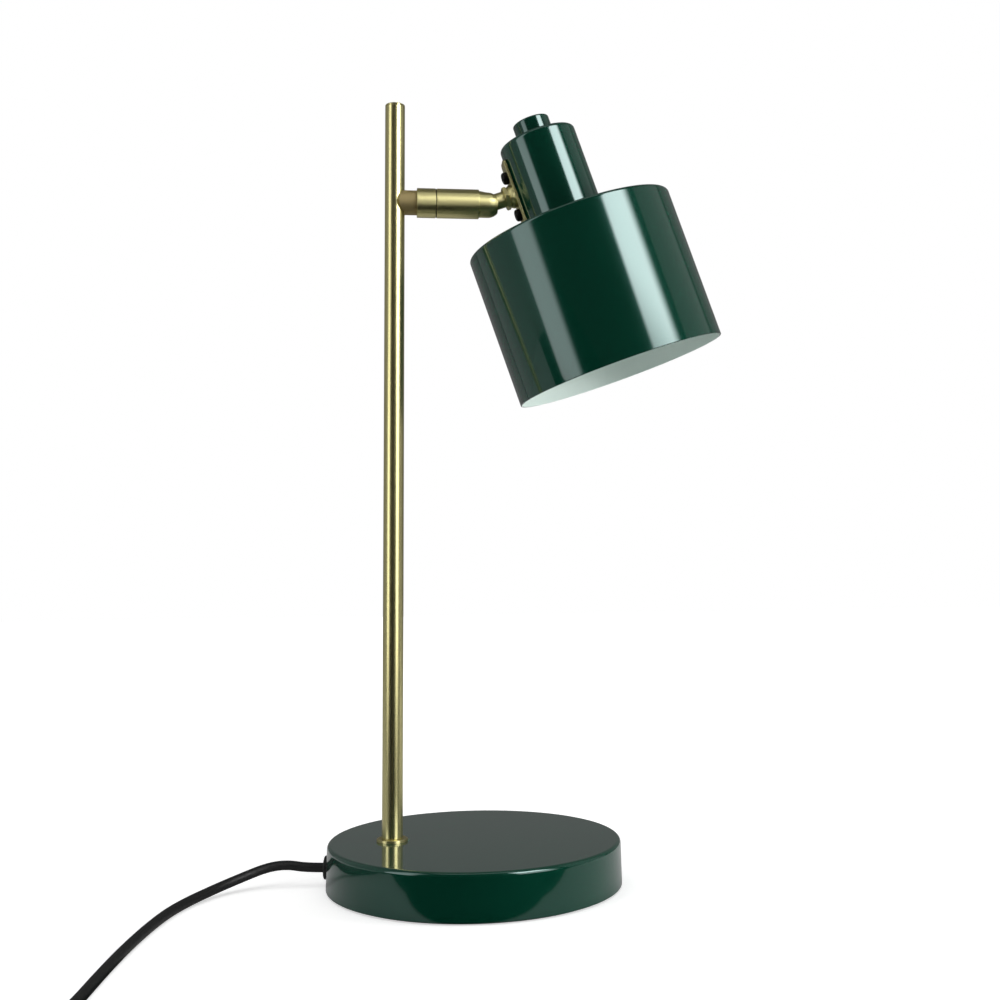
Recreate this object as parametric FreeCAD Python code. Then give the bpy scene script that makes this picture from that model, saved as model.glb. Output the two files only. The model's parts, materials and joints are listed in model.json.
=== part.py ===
import FreeCAD, Part
import math
import os

# Desk lamp: round weighted foot, thin upright tube, short swivel arm and a stepped cylinder head.
# Millimetres. The origin is the centre of the foot's underside, on the table. +Z is up, along the
# upright, and +X is the way that the arm and the head reach. The switched lead runs to its plug.

Vector = FreeCAD.Vector
Rotation = FreeCAD.Rotation
Placement = FreeCAD.Placement
ALONG_X = Vector(1, 0, 0)
ALONG_Y = Vector(0, 1, 0)
ALONG_Z = Vector(0, 0, 1)

# Fits
RUN_FIT = 0.08
SEAT_FIT = 0.05
SLIP_GAP = 0.3
FACE_GAP = 0.2
OVERRUN = 5.0

# Foot
FOOT_RADIUS = 85.0
FOOT_TAPER = 0.5
FOOT_HEIGHT = 26.0
FOOT_LIFT = 1.0
FOOT_WALL = 1.2
FOOT_TOP_WALL = 1.4
FOOT_EDGE_ROUND = 2.2
PAD_THICKNESS = 2.0
PAD_MARGIN = 2.6
FLOOR_PLATE_THICKNESS = 1.5
FLOOR_PLATE_MARGIN = 0.5
WEIGHT_MARGIN = 3.3
WEIGHT_THICKNESS = 9.0
PILLAR_RADIUS = 5.0
PILLAR_SETBACK = 18.0
PILLAR_COUNT = 3
PLATE_SCREW_RADIUS = 1.9
PLATE_SCREW_HEAD_RADIUS = 3.6
PLATE_SCREW_LENGTH = 9.0

# Upright tube and its fixing
POLE_SETBACK = 37.5
POLE_RADIUS = 6.0
POLE_WALL = 1.0
POLE_TOP = 465.0
POLE_CAP_THICKNESS = 1.4
POLE_CAP_ROUND = 0.7
POLE_CAP_SPIGOT = 6.0
FOOT_RING_RADIUS = 9.0
FOOT_RING_HEIGHT = 1.6
FOOT_RING_DISH = 0.7
FOOT_RING_LIP = 1.3
POLE_NIPPLE_RADIUS = 4.0
POLE_NIPPLE_BORE = 2.6
POLE_INSERT_LENGTH = 12.0
POLE_WASHER_RADIUS = 9.0
POLE_WASHER_THICKNESS = 1.0
POLE_NUT_FLATS = 13.0
POLE_NUT_THICKNESS = 3.0
NIPPLE_SHOW = 0.4

# Wires inside the lamp
WIRE_RADIUS = 0.95
WIRE_SPREAD = 1.05
WIRE_BEND = 3.6

# Arm, measured from the upright's axis
ARM_DROP = 61.4
ARM_NIPPLE_RADIUS = 4.0
ARM_NIPPLE_BORE = 2.5
ARM_NIPPLE_START = 3.6
SPACER_RADIUS = 7.5
SPACER_REACH = 13.4
SPACER_EAR_ROUND = 9.45
SPACER_EAR_START = 2.4
COLLAR_RADIUS = 9.0
COLLAR_LENGTH = 11.5
COLLAR_EDGE = 0.4
SWIVEL_GAP = 0.5
SLEEVE_LENGTH = 25.8
SLEEVE_END_WALL = 4.0
SLEEVE_WALL = 1.4
STOP_PIN_RADIUS = 1.0
STOP_PIN_CIRCLE = 6.3
STOP_PIN_LENGTH = 6.0
STOP_PIN_SHOW = 1.5
STOP_BLOCK_WIDTH = 1.2
STOP_GROOVE_DEPTH = 1.8
SWIVEL_WASHER_RADIUS = 6.8
SWIVEL_WASHER_THICKNESS = 1.0
SWIVEL_NUT_FLATS = 12.0
SWIVEL_NUT_THICKNESS = 3.5
SWIVEL_THREAD_SHOW = 2.0

# Ball joint at the end of the arm
NOSE_RADIUS = 8.1
BALL_SETBACK = 5.5
BALL_RADIUS = 6.3
SPIGOT_LENGTH = 9.0
SEAT_FLOOR = 4.4
SEAT_CUP_DEPTH = 3.1
SPRING_THICKNESS = 1.4
SPRING_INNER_RADIUS = 4.2
SPRING_RING_THICKNESS = 1.7
SPRING_RING_BORE = 3.0
STEM_RADIUS = 5.0
STEM_BORE = 2.5
STEM_FLARE = 4.2
SLOT_GAP = 0.4
STEM_TILT = 19.2
LOCKNUT_FLATS = 13.0
LOCKNUT_THICKNESS = 2.4
LOCKNUT_CHAMFER = 0.5
FERRULE_RADIUS = 7.25
FERRULE_TIP_RADIUS = 6.2
FERRULE_LENGTH = 3.5
INNER_NUT_FLATS = 12.0
INNER_NUT_THICKNESS = 2.5
STEM_THREAD_SHOW = 0.5

# Head, measured along its own axis from the top of the shade
HEAD_OFFSET = 43.0
STEM_SETBACK = 30.6
NECK_RADIUS = 24.3
NECK_WALL = 1.2
NECK_TOP_WALL = 1.5
NECK_LENGTH = 59.5
NECK_ROUND = 2.5
FINIAL_RADIUS = 11.6
FINIAL_HEIGHT = 11.5
FINIAL_ROUND = 1.2
FINIAL_BORE_DEPTH = 9.0
SHADE_RADIUS = 65.0
SHADE_LENGTH = 95.0
SHADE_WALL = 1.0
SHADE_ROUND = 2.0
BRACKET_MARGIN = 14.5
BRACKET_WIDTH = 14.0
BRACKET_THICKNESS = 1.5
BRACKET_SCREW_SPACING = 24.4
BRACKET_SCREW_RADIUS = 1.5
BRACKET_SCREW_HEAD_RADIUS = 2.9
BRACKET_SCREW_HEAD_HEIGHT = 2.0
BRACKET_SCREW_DOME = 1.1
BACKING_THICKNESS = 2.65

# Lampholder
HEAD_NIPPLE_RADIUS = 5.0
HEAD_NIPPLE_BORE = 3.4
HEAD_NIPPLE_GRIP = 3.5
HEAD_NUT_FLATS = 14.0
HEAD_NUT_THICKNESS = 3.0
HOLDER_CAP_RADIUS = 13.5
HOLDER_CAP_WALL = 1.7
HOLDER_CAP_DROP = 8.0
HOLDER_CAP_ROUND = 3.0
HOLDER_SPLIT_DROP = 4.9
HOLDER_RADIUS = 13.0
HOLDER_SPIGOT = 3.5
HOLDER_THREAD_RADIUS = 14.0
HOLDER_DROP = 14.0
HOLDER_FLANGE_RADIUS = 17.0
HOLDER_FLANGE_THICKNESS = 2.0
HOLDER_FLOOR = 8.0
HOLDER_WIRE_SPACE = 6.0
LAMP_BORE_RADIUS = 7.0
LAMP_BORE_LENGTH = 18.0
LAMP_SHELL_WALL = 0.6
LAMP_SHELL_START = 12.0
CONTACT_LENGTH = 6.0
CONTACT_WIDTH = 3.0
CONTACT_THICKNESS = 1.0
SHADE_RING_RADIUS = 19.0
SHADE_RING_HEIGHT = 4.0
GROMMET_RADIUS = 3.0

# Lead, gland and the wiring behind it
CORD_DIAMETER = 5.4
CORD_RADIUS = CORD_DIAMETER / 2
GLAND_TURN = 172.6
GLAND_HEIGHT = 10.0
GLAND_FLANGE_RADIUS = 6.6
GLAND_FLANGE_THICKNESS = 2.1
GLAND_FLANGE_ROUND = 0.6
GLAND_TUBE_RADIUS = 4.2
GLAND_TUBE_LENGTH = 6.0
GLAND_NUT_FLATS = 11.0
GLAND_NUT_THICKNESS = 3.0
CLAMP_LENGTH = 6.0
CLAMP_WIDTH = 13.0
CLAMP_BELOW = 4.4
CLAMP_SETBACK = 6.5
TERMINAL_SETBACK = 10.5
TERMINAL_LENGTH = 10.0
TERMINAL_WIDTH = 15.0
TERMINAL_FOOT = 4.8

# In-line rocker switch
SWITCH_LENGTH = 62.0
SWITCH_WIDTH = 24.0
SWITCH_HEIGHT = 16.0
SWITCH_SPLIT = 7.5
SWITCH_WALL = 1.8
SWITCH_END_WIDTH = 11.0
SWITCH_SHOULDER = 14.0
SWITCH_ROUND = 2.0
SWITCH_SEAM = 0.1
ROCKER_LENGTH = 17.0
ROCKER_WIDTH = 9.0
ROCKER_CROWN = 2.2
ROCKER_DEPTH = 5.0
ROCKER_PIVOT_DROP = 3.0
ROCKER_TILT = 8.0
ROCKER_PIN_RADIUS = 1.2
ROCKER_PIN_SHOW = 1.6
ROCKER_EAR_THICKNESS = 1.2
SWITCH_SCREW_RADIUS = 1.4
SWITCH_SCREW_HEAD_RADIUS = 2.6
SWITCH_SCREW_SPACING = 34.0
SWITCH_SCREW_HEAD_DEPTH = 1.6
SWITCH_SCREW_BOSS = 2.6
SWITCH_TERMINAL_LENGTH = 7.0
SWITCH_TERMINAL_WIDTH = 5.0
SWITCH_TERMINAL_HEIGHT = 4.0
SWITCH_TERMINAL_SPACING = 22.0

# Flat two-pin plug
PLUG_LENGTH = 36.0
PLUG_WIDTH = 35.0
PLUG_THICKNESS = 13.7
PLUG_TAIL_WIDTH = 14.0
PLUG_SHOULDER = 20.0
PLUG_ROUND = 2.5
PLUG_RELIEF_LENGTH = 22.0
PLUG_RELIEF_RADIUS = 5.2
PLUG_RELIEF_TIP_RADIUS = 3.5
PLUG_RELIEF_BITE = 2.0
PIN_RADIUS = 2.0
PIN_LENGTH = 19.0
PIN_SPACING = 19.0
PIN_ROOT = 8.0
PIN_CORE_RADIUS = 1.2
PIN_SLEEVE_RADIUS = 1.6
PIN_SLEEVE_LENGTH = 10.0
PIN_TIP_ROUND = 1.2

# Put-away coil of the lead
COIL_TURNS = 3.25
COIL_RADIUS = 40.5
COIL_PITCH = 6.0
COIL_SAMPLES = 1200
COIL_LIFT = 1.0
COIL_START_TURN = -90.0
TIE_THICKNESS = 0.7
TIE_WIDTH = 8.0
TIE_TURN = 60.0
TIE_GAP = 0.3
TIE_INNER_GAP = 1.0

# Places of the switch, the coil and the plug, sideways and towards the front from the gland's face
SWITCH_ASIDE = 93.6
SWITCH_AWAY = 280.2
COIL_ASIDE = 31.6
COIL_AWAY = 320.7
PLUG_ASIDE = 50.4
PLUG_AWAY = 350.2

# Places worked out from the sizes
FOOT_TOP_RADIUS = FOOT_RADIUS - FOOT_TAPER
WEIGHT_RADIUS = FOOT_TOP_RADIUS - FOOT_WALL - WEIGHT_MARGIN
PILLAR_CIRCLE = WEIGHT_RADIUS - PILLAR_SETBACK
POLE_OFFSET = FOOT_RADIUS - POLE_SETBACK
ARM_HEIGHT = POLE_TOP - ARM_DROP
FLOOR_PLATE_TOP = PAD_THICKNESS + FLOOR_PLATE_THICKNESS
WEIGHT_TOP = FOOT_HEIGHT - FOOT_TOP_WALL
WEIGHT_UNDERSIDE = WEIGHT_TOP - WEIGHT_THICKNESS
POLE_BORE = POLE_RADIUS - POLE_WALL
POLE_WASHER_UNDERSIDE = WEIGHT_UNDERSIDE - POLE_WASHER_THICKNESS
POLE_NUT_UNDERSIDE = POLE_WASHER_UNDERSIDE - POLE_NUT_THICKNESS
POLE_NIPPLE_FOOT = POLE_NUT_UNDERSIDE - NIPPLE_SHOW
COLLAR_END = SPACER_REACH + COLLAR_LENGTH
SLEEVE_START = COLLAR_END + SWIVEL_GAP
SLEEVE_END = SLEEVE_START + SLEEVE_LENGTH
SLEEVE_BORE = COLLAR_RADIUS - SLEEVE_WALL
SLEEVE_FLOOR = SLEEVE_START + SLEEVE_END_WALL
SWIVEL_NUT_START = SLEEVE_FLOOR + SWIVEL_WASHER_THICKNESS + FACE_GAP
ARM_NIPPLE_END = SWIVEL_NUT_START + SWIVEL_NUT_THICKNESS + SWIVEL_THREAD_SHOW
BALL_REACH = SLEEVE_END + BALL_SETBACK
SOCKET_RADIUS = BALL_RADIUS + SLIP_GAP
SPIGOT_START = SLEEVE_END - SPIGOT_LENGTH
SEAT_START = BALL_REACH - SOCKET_RADIUS - SEAT_FLOOR
SPRING_START = SEAT_START - SPRING_THICKNESS - SEAT_FIT
SPRING_RING_START = SPRING_START - SPRING_RING_THICKNESS - SEAT_FIT
ARM_WIRE_END = BALL_REACH - SOCKET_RADIUS - FACE_GAP
BRACKET_BACK = NECK_RADIUS + SEAT_FIT
BRACKET_FRONT = BRACKET_BACK + BRACKET_THICKNESS
FERRULE_FRONT = BRACKET_FRONT + FERRULE_LENGTH
LOCKNUT_BACK = FERRULE_FRONT + FACE_GAP
NECK_BORE = NECK_RADIUS - NECK_WALL
BACKING_OUTSIDE = NECK_BORE - SEAT_FIT
BACKING_INSIDE = BACKING_OUTSIDE - BACKING_THICKNESS
INNER_NUT_OUTSIDE = BACKING_INSIDE - FACE_GAP
INNER_NUT_INSIDE = INNER_NUT_OUTSIDE - INNER_NUT_THICKNESS
STEM_END = INNER_NUT_INSIDE - STEM_THREAD_SHOW
SHOULDER_DROP = NECK_LENGTH - STEM_SETBACK
BRACKET_LENGTH = NECK_LENGTH - BRACKET_MARGIN
HOLDER_NECK_CEILING = NECK_LENGTH - NECK_TOP_WALL
HOLDER_CAP_TOP = HOLDER_NECK_CEILING - HOLDER_CAP_DROP
HOLDER_SPLIT = SHOULDER_DROP - HOLDER_SPLIT_DROP
GLAND_SEAT = FOOT_RADIUS + SEAT_FIT
GLAND_FACE = GLAND_SEAT + GLAND_FLANGE_THICKNESS
CLAMP_OUTER = FOOT_RADIUS - CLAMP_SETBACK
CLAMP_INNER = CLAMP_OUTER - CLAMP_LENGTH
POLE_WIRE_LEVEL = POLE_NIPPLE_FOOT - WIRE_BEND

BALL_CENTRE = Vector(BALL_REACH - POLE_OFFSET, 0, ARM_HEIGHT)
ARM_FRAME = Placement(Vector(-POLE_OFFSET, 0, ARM_HEIGHT), Rotation(ALONG_Y, 90))
STEM_FRAME = Placement(BALL_CENTRE, Rotation(ALONG_Y, 90 - STEM_TILT))
HEAD_TURN = Rotation(ALONG_Y, -STEM_TILT)
HEAD_CENTRE = BALL_CENTRE + HEAD_TURN.multVec(Vector(HEAD_OFFSET, 0, -SHOULDER_DROP))
HEAD_FRAME = Placement(HEAD_CENTRE, HEAD_TURN)
GLAND_FRAME = Placement(Vector(0, 0, GLAND_HEIGHT), Rotation(ALONG_Z, GLAND_TURN))
GLAND_AXIS = GLAND_FRAME.Rotation.multVec(ALONG_X)
POLE_FRAME = Placement(Vector(-POLE_OFFSET, 0, 0), Rotation())
POLE_TO_CLAMP = GLAND_AXIS * CLAMP_INNER + ALONG_X * POLE_OFFSET
TERMINAL_FRAME = Placement(Vector(-POLE_OFFSET, 0, 0), Rotation(ALONG_X, POLE_TO_CLAMP))
TERMINAL_AXIS = TERMINAL_FRAME.Rotation.multVec(ALONG_X)
TERMINAL_ACROSS = TERMINAL_FRAME.Rotation.multVec(ALONG_Y)

# Route of the lead. The points are chosen by hand, in millimetres from the piece that is nearest.
RUN_SHARE = 0.45
LEAD_START = GLAND_AXIS * GLAND_FACE
LEAD_EXIT = LEAD_START + ALONG_Z * GLAND_HEIGHT
ON_TABLE = LEAD_START + ALONG_Z * CORD_RADIUS
SWITCH_CENTRE = LEAD_START + Vector(-SWITCH_ASIDE, -SWITCH_AWAY, 0)
SWITCH_FRAME = Placement(SWITCH_CENTRE, Rotation(ALONG_Z, -90))
SWITCH_IN = SWITCH_CENTRE + Vector(0, SWITCH_LENGTH / 2, SWITCH_SPLIT)
SWITCH_OUT = SWITCH_CENTRE + Vector(0, -SWITCH_LENGTH / 2, SWITCH_SPLIT)
COIL_CENTRE = LEAD_START + Vector(-COIL_ASIDE, -COIL_AWAY, 0)
COIL_LOW_LEVEL = COIL_LIFT + CORD_RADIUS
COIL_HIGH_LEVEL = COIL_LOW_LEVEL + COIL_PITCH
COIL_START = COIL_CENTRE + Vector(-CORD_DIAMETER, -COIL_RADIUS, COIL_LOW_LEVEL)
COIL_FINISH = COIL_CENTRE + Vector(CORD_DIAMETER, -COIL_RADIUS, COIL_HIGH_LEVEL)
PLUG_TAIL = LEAD_START + Vector(PLUG_ASIDE, -PLUG_AWAY, PLUG_THICKNESS / 2)
PLUG_FRAME = Placement(PLUG_TAIL, Rotation())
LEAD_ROUTE = [
    LEAD_EXIT,
    LEAD_EXIT + Vector(-10.6, 1.4, 0),
    LEAD_EXIT + Vector(-21.6, 2.8, 1.8),
    LEAD_EXIT + Vector(-32.6, 1.8, 0.9),
    LEAD_EXIT + Vector(-45.1, -3.2, -2.6),
    LEAD_EXIT + Vector(-59.0, -14.2, -5.9),
    ON_TABLE + Vector(-72.2, -37.2, 0),
    ON_TABLE + Vector(-79.8, -63.2, 0),
    ON_TABLE + Vector(-86.0, -106.7, 0),
    ON_TABLE + Vector(-89.6, -151.2, 0),
    ON_TABLE + Vector(-92.1, -204.2, 0),
    SWITCH_IN + Vector(0, 16.0, 0),
    SWITCH_IN,
]
LINK_ROUTE = [
    SWITCH_OUT,
    SWITCH_OUT + Vector(0, -11.0, 0),
    SWITCH_OUT + Vector(3.0, -27.0, -2.7),
    COIL_START + Vector(-40.6, 7.0, 0),
    COIL_START + Vector(-19.6, 0, 0),
    COIL_START,
]
TAIL_ROUTE = [
    COIL_FINISH,
    COIL_FINISH + Vector(10.6, 0, 0),
    COIL_FINISH + Vector(26.6, 2.0, -3.1),
    PLUG_TAIL + Vector(-30.0, -3.0, -2.85),
    PLUG_TAIL + Vector(-12.0, 0, 0),
    PLUG_TAIL,
]


# Small builders
def rod(radius, start, end, centre=Vector(0, 0, 0)):
    """A cylinder along local Z from start to end."""
    return Part.makeCylinder(radius, end - start, centre + ALONG_Z * start, ALONG_Z)


def bar(radius, start, end, axis):
    """A cylinder from the point start to the point end, along axis."""
    return Part.makeCylinder(radius, (end - start).Length, start, axis)


def tube(outer, inner, start, end):
    """A hollow cylinder along local Z, open at both ends."""
    return rod(outer, start, end).cut(rod(inner, start - OVERRUN, end + OVERRUN))


def block(low, high):
    """A box between two corners."""
    size = high - low
    return Part.makeBox(size.x, size.y, size.z, low)


def hexagon(flats, start, end):
    """A six-sided prism along local Z, with flats facing X."""
    corner = flats / math.sqrt(3)
    turns = [math.radians(30 + 60 * k) for k in range(7)]
    points = [Vector(corner * math.cos(a), corner * math.sin(a), start) for a in turns]
    return Part.Face(Part.makePolygon(points)).extrude(ALONG_Z * (end - start))


def nut(flats, bore_radius, start, end):
    """A plain hexagon nut along local Z."""
    return hexagon(flats, start, end).cut(rod(bore_radius, start - OVERRUN, end + OVERRUN))


def turned(outline):
    """A solid of revolution about local Z from (radius, height) points."""
    points = [Vector(r, 0, z) for r, z in outline]
    face = Part.Face(Part.makePolygon(points + points[:1]))
    return face.revolve(Vector(0, 0, 0), ALONG_Z, 360)


def round_rims(shape, radius, height, amount, axis=ALONG_Z):
    """Rounds the circular edges of this radius that lie at this height along axis."""
    reach = SEAT_FIT / 2
    rims = []
    for edge in shape.Edges:
        curve = edge.Curve
        if not isinstance(curve, Part.Circle):
            continue
        if abs(curve.Radius - radius) < reach and abs(curve.Center.dot(axis) - height) < reach:
            rims.append(edge)
    return shape.makeFillet(amount, rims)


def edges_along(shape, axis):
    """Edges that run along this axis."""
    return [e for e in shape.Edges if abs(e.tangentAt(e.FirstParameter).dot(axis)) > 1 - RUN_FIT]


def placed(shape, frame):
    """A copy of the shape moved from a local frame to the lamp's frame."""
    copy = shape.copy()
    copy.Placement = frame.multiply(copy.Placement)
    return copy


def save(name, *solids):
    """Writes one sub-part."""
    shape = solids[0] if len(solids) == 1 else Part.makeCompound(list(solids))
    shape.exportStep("parts/" + name + ".step")


# Wires and cords
def route_wire(points, bend=None):
    """Straight runs joined by tangent arcs, and the list of the arcs' radii."""
    edges = []
    radii = []
    last = points[0]
    for before, corner, after in zip(points, points[1:], points[2:]):
        come = (corner - before).normalize()
        leave = (after - corner).normalize()
        half_turn = come.getAngle(leave) / 2
        if bend is None:
            setback = RUN_SHARE * min((corner - before).Length, (after - corner).Length)
        else:
            setback = bend * math.tan(half_turn)
        radius = setback / math.tan(half_turn)
        start = corner - come * setback
        end = corner + leave * setback
        inward = (leave - come).normalize()
        middle = corner + inward * (radius / math.cos(half_turn) - radius)
        edges.append(Part.LineSegment(last, start).toShape())
        edges.append(Part.Arc(start, middle, end).toShape())
        radii.append(radius)
        last = end
    edges.append(Part.LineSegment(last, points[-1]).toShape())
    return Part.Wire(edges), radii


def swept(wire, radius):
    """A round tube along a wire."""
    edge = wire.OrderedEdges[0]
    start = edge.valueAt(edge.FirstParameter)
    heading = edge.tangentAt(edge.FirstParameter)
    section = Part.Wire([Part.Circle(start, heading, radius).toShape()])
    shell = Part.BRepOffsetAPI.MakePipeShell(wire)
    shell.add(section)
    shell.build()
    shell.makeSolid()
    return shell.shape()


def cord_along(name, points):
    """A stretch of the lead, with its least radius and its volume checked in print."""
    wire, radii = route_wire(points)
    solid = swept(wire, CORD_RADIUS)
    expected = math.pi * CORD_RADIUS ** 2 * wire.Length
    print(name, "length", round(wire.Length, 1), "radii", [round(r, 1) for r in radii],
          "volume ratio", round(solid.Volume / expected, 4))
    return solid, wire.Length


def wire_pair(points, spreads):
    """Two insulated wires side by side along one route, apart along a direction at each point."""
    pair = []
    for side in (-1, 1):
        shifted = [p + spread * (side * WIRE_SPREAD) for p, spread in zip(points, spreads)]
        wire, radii = route_wire(shifted, WIRE_BEND)
        pair.append(swept(wire, WIRE_RADIUS))
    return pair


def straight_pair(ends, spread):
    """Two straight insulated wires between two points."""
    axis = (ends[1] - ends[0]).normalize()
    offsets = [spread * -WIRE_SPREAD, spread * WIRE_SPREAD]
    return [bar(WIRE_RADIUS, ends[0] + offset, ends[1] + offset, axis) for offset in offsets]


def coil_place(turn):
    """Centre-line point and heading of the coil after so many radians from its start."""
    down = 2 * math.pi * COIL_TURNS
    rate = COIL_PITCH / (2 * math.pi)
    inner = COIL_RADIUS - rate * down
    if turn <= down:
        radius, slope = COIL_RADIUS - rate * turn, -rate
        level, climb = COIL_LOW_LEVEL, 0
    elif turn >= down + math.pi:
        radius, slope = inner + rate * (turn - down - math.pi), rate
        level, climb = COIL_HIGH_LEVEL, 0
    else:
        part = (turn - down) / math.pi
        radius = inner - rate * math.pi * part * (1 - part)
        slope = -rate * (1 - 2 * part)
        level = COIL_LOW_LEVEL + COIL_PITCH * (part - math.sin(2 * math.pi * part) / (2 * math.pi))
        climb = COIL_PITCH * (1 - math.cos(2 * math.pi * part)) / math.pi
    angle = turn + math.radians(COIL_START_TURN)
    out = Vector(math.cos(angle), math.sin(angle), 0)
    along = Vector(-math.sin(angle), math.cos(angle), 0)
    point = COIL_CENTRE + out * radius + ALONG_Z * level
    heading = along * radius + out * slope + ALONG_Z * climb
    return point, heading.normalize()


def arc_from(start, heading, end):
    """The arc that leaves start along heading and reaches end."""
    span = end - start
    chord = Vector(span).normalize()
    side = (heading - chord * heading.dot(chord)).normalize()
    rise = span.Length * math.tan(heading.getAngle(chord) / 2) / 2
    return Part.Arc(start, (start + end) * 0.5 + side * rise, end).toShape()


def biarc(start, come, end, leave):
    """Two arcs that join two points with their headings."""
    chord = end - start
    lead = chord.dot(come + leave)
    spare = 2 * (1 - come.dot(leave))
    reach = (-lead + math.sqrt(lead * lead + spare * chord.dot(chord))) / spare
    first_corner = start + come * reach
    second_corner = end - leave * reach
    joint = (first_corner + second_corner) * 0.5
    across = (second_corner - first_corner).normalize()
    return [arc_from(start, come, joint), arc_from(joint, across, end)]


def coil_wire():
    """The coil's centre line: straight end, biarcs of a quarter turn, straight end."""
    total = 2 * math.pi * (2 * COIL_TURNS) + math.pi
    steps = round(total / (math.pi / 2))
    places = [coil_place(total * k / steps) for k in range(steps + 1)]
    places[0] = (places[0][0], ALONG_X)
    places[-1] = (places[-1][0], ALONG_X)
    edges = [Part.LineSegment(COIL_START, places[0][0]).toShape()]
    for (start, come), (end, leave) in zip(places, places[1:]):
        edges += biarc(start, come, end, leave)
    edges.append(Part.LineSegment(places[-1][0], COIL_FINISH).toShape())
    return Part.Wire(edges)


def least_gap(wire, diameter):
    """Least gap between turns, between points more than one coil radius apart along the cord."""
    points = wire.discretize(Number=COIL_SAMPLES)
    apart = round(COIL_SAMPLES * COIL_RADIUS / wire.Length)
    least = min((points[i] - points[j]).Length
                for i in range(COIL_SAMPLES) for j in range(i + apart, COIL_SAMPLES))
    return least - diameter


# Foot
def foot_cover():
    outer = turned([
        (0, FOOT_LIFT),
        (FOOT_RADIUS, FOOT_LIFT),
        (FOOT_TOP_RADIUS, FOOT_HEIGHT),
        (0, FOOT_HEIGHT),
    ])
    outer = round_rims(outer, FOOT_TOP_RADIUS, FOOT_HEIGHT, FOOT_EDGE_ROUND)
    inner = turned([
        (0, FOOT_LIFT),
        (FOOT_RADIUS - FOOT_WALL, FOOT_LIFT),
        (FOOT_TOP_RADIUS - FOOT_WALL, WEIGHT_TOP),
        (0, WEIGHT_TOP),
    ])
    inner = round_rims(inner, FOOT_TOP_RADIUS - FOOT_WALL, WEIGHT_TOP, FOOT_EDGE_ROUND - FOOT_WALL)
    hole = rod(POLE_NIPPLE_RADIUS + SLIP_GAP, WEIGHT_TOP - OVERRUN, FOOT_HEIGHT + OVERRUN)
    gland_hole = bar(GLAND_TUBE_RADIUS + SEAT_FIT, ALONG_X * WEIGHT_RADIUS,
                     ALONG_X * (FOOT_RADIUS + OVERRUN), ALONG_X)
    return outer.cut(inner).cut(placed(hole, POLE_FRAME)).cut(placed(gland_hole, GLAND_FRAME))


def pillar_spots():
    """Centres of the weight's screw pillars, clear of the wiring behind the gland."""
    step = 360 / PILLAR_COUNT
    turns = [math.radians(GLAND_TURN + step * (k + 0.5)) for k in range(PILLAR_COUNT)]
    return [Vector(PILLAR_CIRCLE * math.cos(a), PILLAR_CIRCLE * math.sin(a), 0) for a in turns]


def foot_weight():
    disc = rod(WEIGHT_RADIUS, WEIGHT_UNDERSIDE, WEIGHT_TOP)
    for spot in pillar_spots():
        disc = disc.fuse(rod(PILLAR_RADIUS, FLOOR_PLATE_TOP, WEIGHT_UNDERSIDE, spot))
    for spot in pillar_spots():
        disc = disc.cut(rod(PLATE_SCREW_RADIUS + SEAT_FIT, FLOOR_PLATE_TOP - OVERRUN,
                            PAD_THICKNESS + PLATE_SCREW_LENGTH + FACE_GAP, spot))
    hole = rod(POLE_NIPPLE_RADIUS + SLIP_GAP, WEIGHT_UNDERSIDE - OVERRUN, WEIGHT_TOP + OVERRUN)
    return disc.cut(placed(hole, POLE_FRAME))


def plate_screw(spot):
    head = Part.makeCone(PLATE_SCREW_HEAD_RADIUS, PLATE_SCREW_RADIUS, FLOOR_PLATE_THICKNESS,
                         spot + ALONG_Z * PAD_THICKNESS, ALONG_Z)
    return head.fuse(rod(PLATE_SCREW_RADIUS, PAD_THICKNESS, PAD_THICKNESS + PLATE_SCREW_LENGTH, spot))


def floor_plate():
    plate = rod(FOOT_RADIUS - FOOT_WALL - FLOOR_PLATE_MARGIN, PAD_THICKNESS, FLOOR_PLATE_TOP)
    for spot in pillar_spots():
        seat = Part.makeCone(PLATE_SCREW_HEAD_RADIUS + SEAT_FIT, PLATE_SCREW_RADIUS + SEAT_FIT,
                             FLOOR_PLATE_THICKNESS, spot + ALONG_Z * PAD_THICKNESS, ALONG_Z)
        plate = plate.cut(seat)
    return plate


def foot_pad():
    return rod(FOOT_RADIUS - PAD_MARGIN, 0, PAD_THICKNESS)


def build_foot():
    save("base_cover", foot_cover())
    save("base_weight", foot_weight())
    save("base_plate", floor_plate())
    save("base_pad", foot_pad())
    save("plate_screws", *[plate_screw(spot) for spot in pillar_spots()])


# Upright
def pole_tube():
    pole = tube(POLE_RADIUS, POLE_BORE, FOOT_HEIGHT, POLE_TOP - POLE_CAP_THICKNESS)
    side_hole = bar(ARM_NIPPLE_RADIUS + SEAT_FIT, ALONG_Z * ARM_HEIGHT,
                    ALONG_Z * ARM_HEIGHT + ALONG_X * (POLE_RADIUS + OVERRUN), ALONG_X)
    return pole.cut(side_hole)


def pole_cap():
    seat = POLE_TOP - POLE_CAP_THICKNESS
    disc = round_rims(rod(POLE_RADIUS, seat, POLE_TOP), POLE_RADIUS, POLE_TOP, POLE_CAP_ROUND)
    return disc.fuse(rod(POLE_BORE - SEAT_FIT, seat - POLE_CAP_SPIGOT, seat))


def foot_ring():
    inner = POLE_RADIUS + SEAT_FIT
    top = FOOT_HEIGHT + FOOT_RING_HEIGHT
    ring = turned([
        (inner, FOOT_HEIGHT),
        (FOOT_RING_RADIUS, FOOT_HEIGHT),
        (FOOT_RING_RADIUS, top),
        (FOOT_RING_RADIUS - FOOT_RING_LIP, top),
        (inner, top - FOOT_RING_DISH),
    ])
    ring = round_rims(ring, FOOT_RING_RADIUS, top, FOOT_RING_LIP / 2)
    return ring


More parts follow.
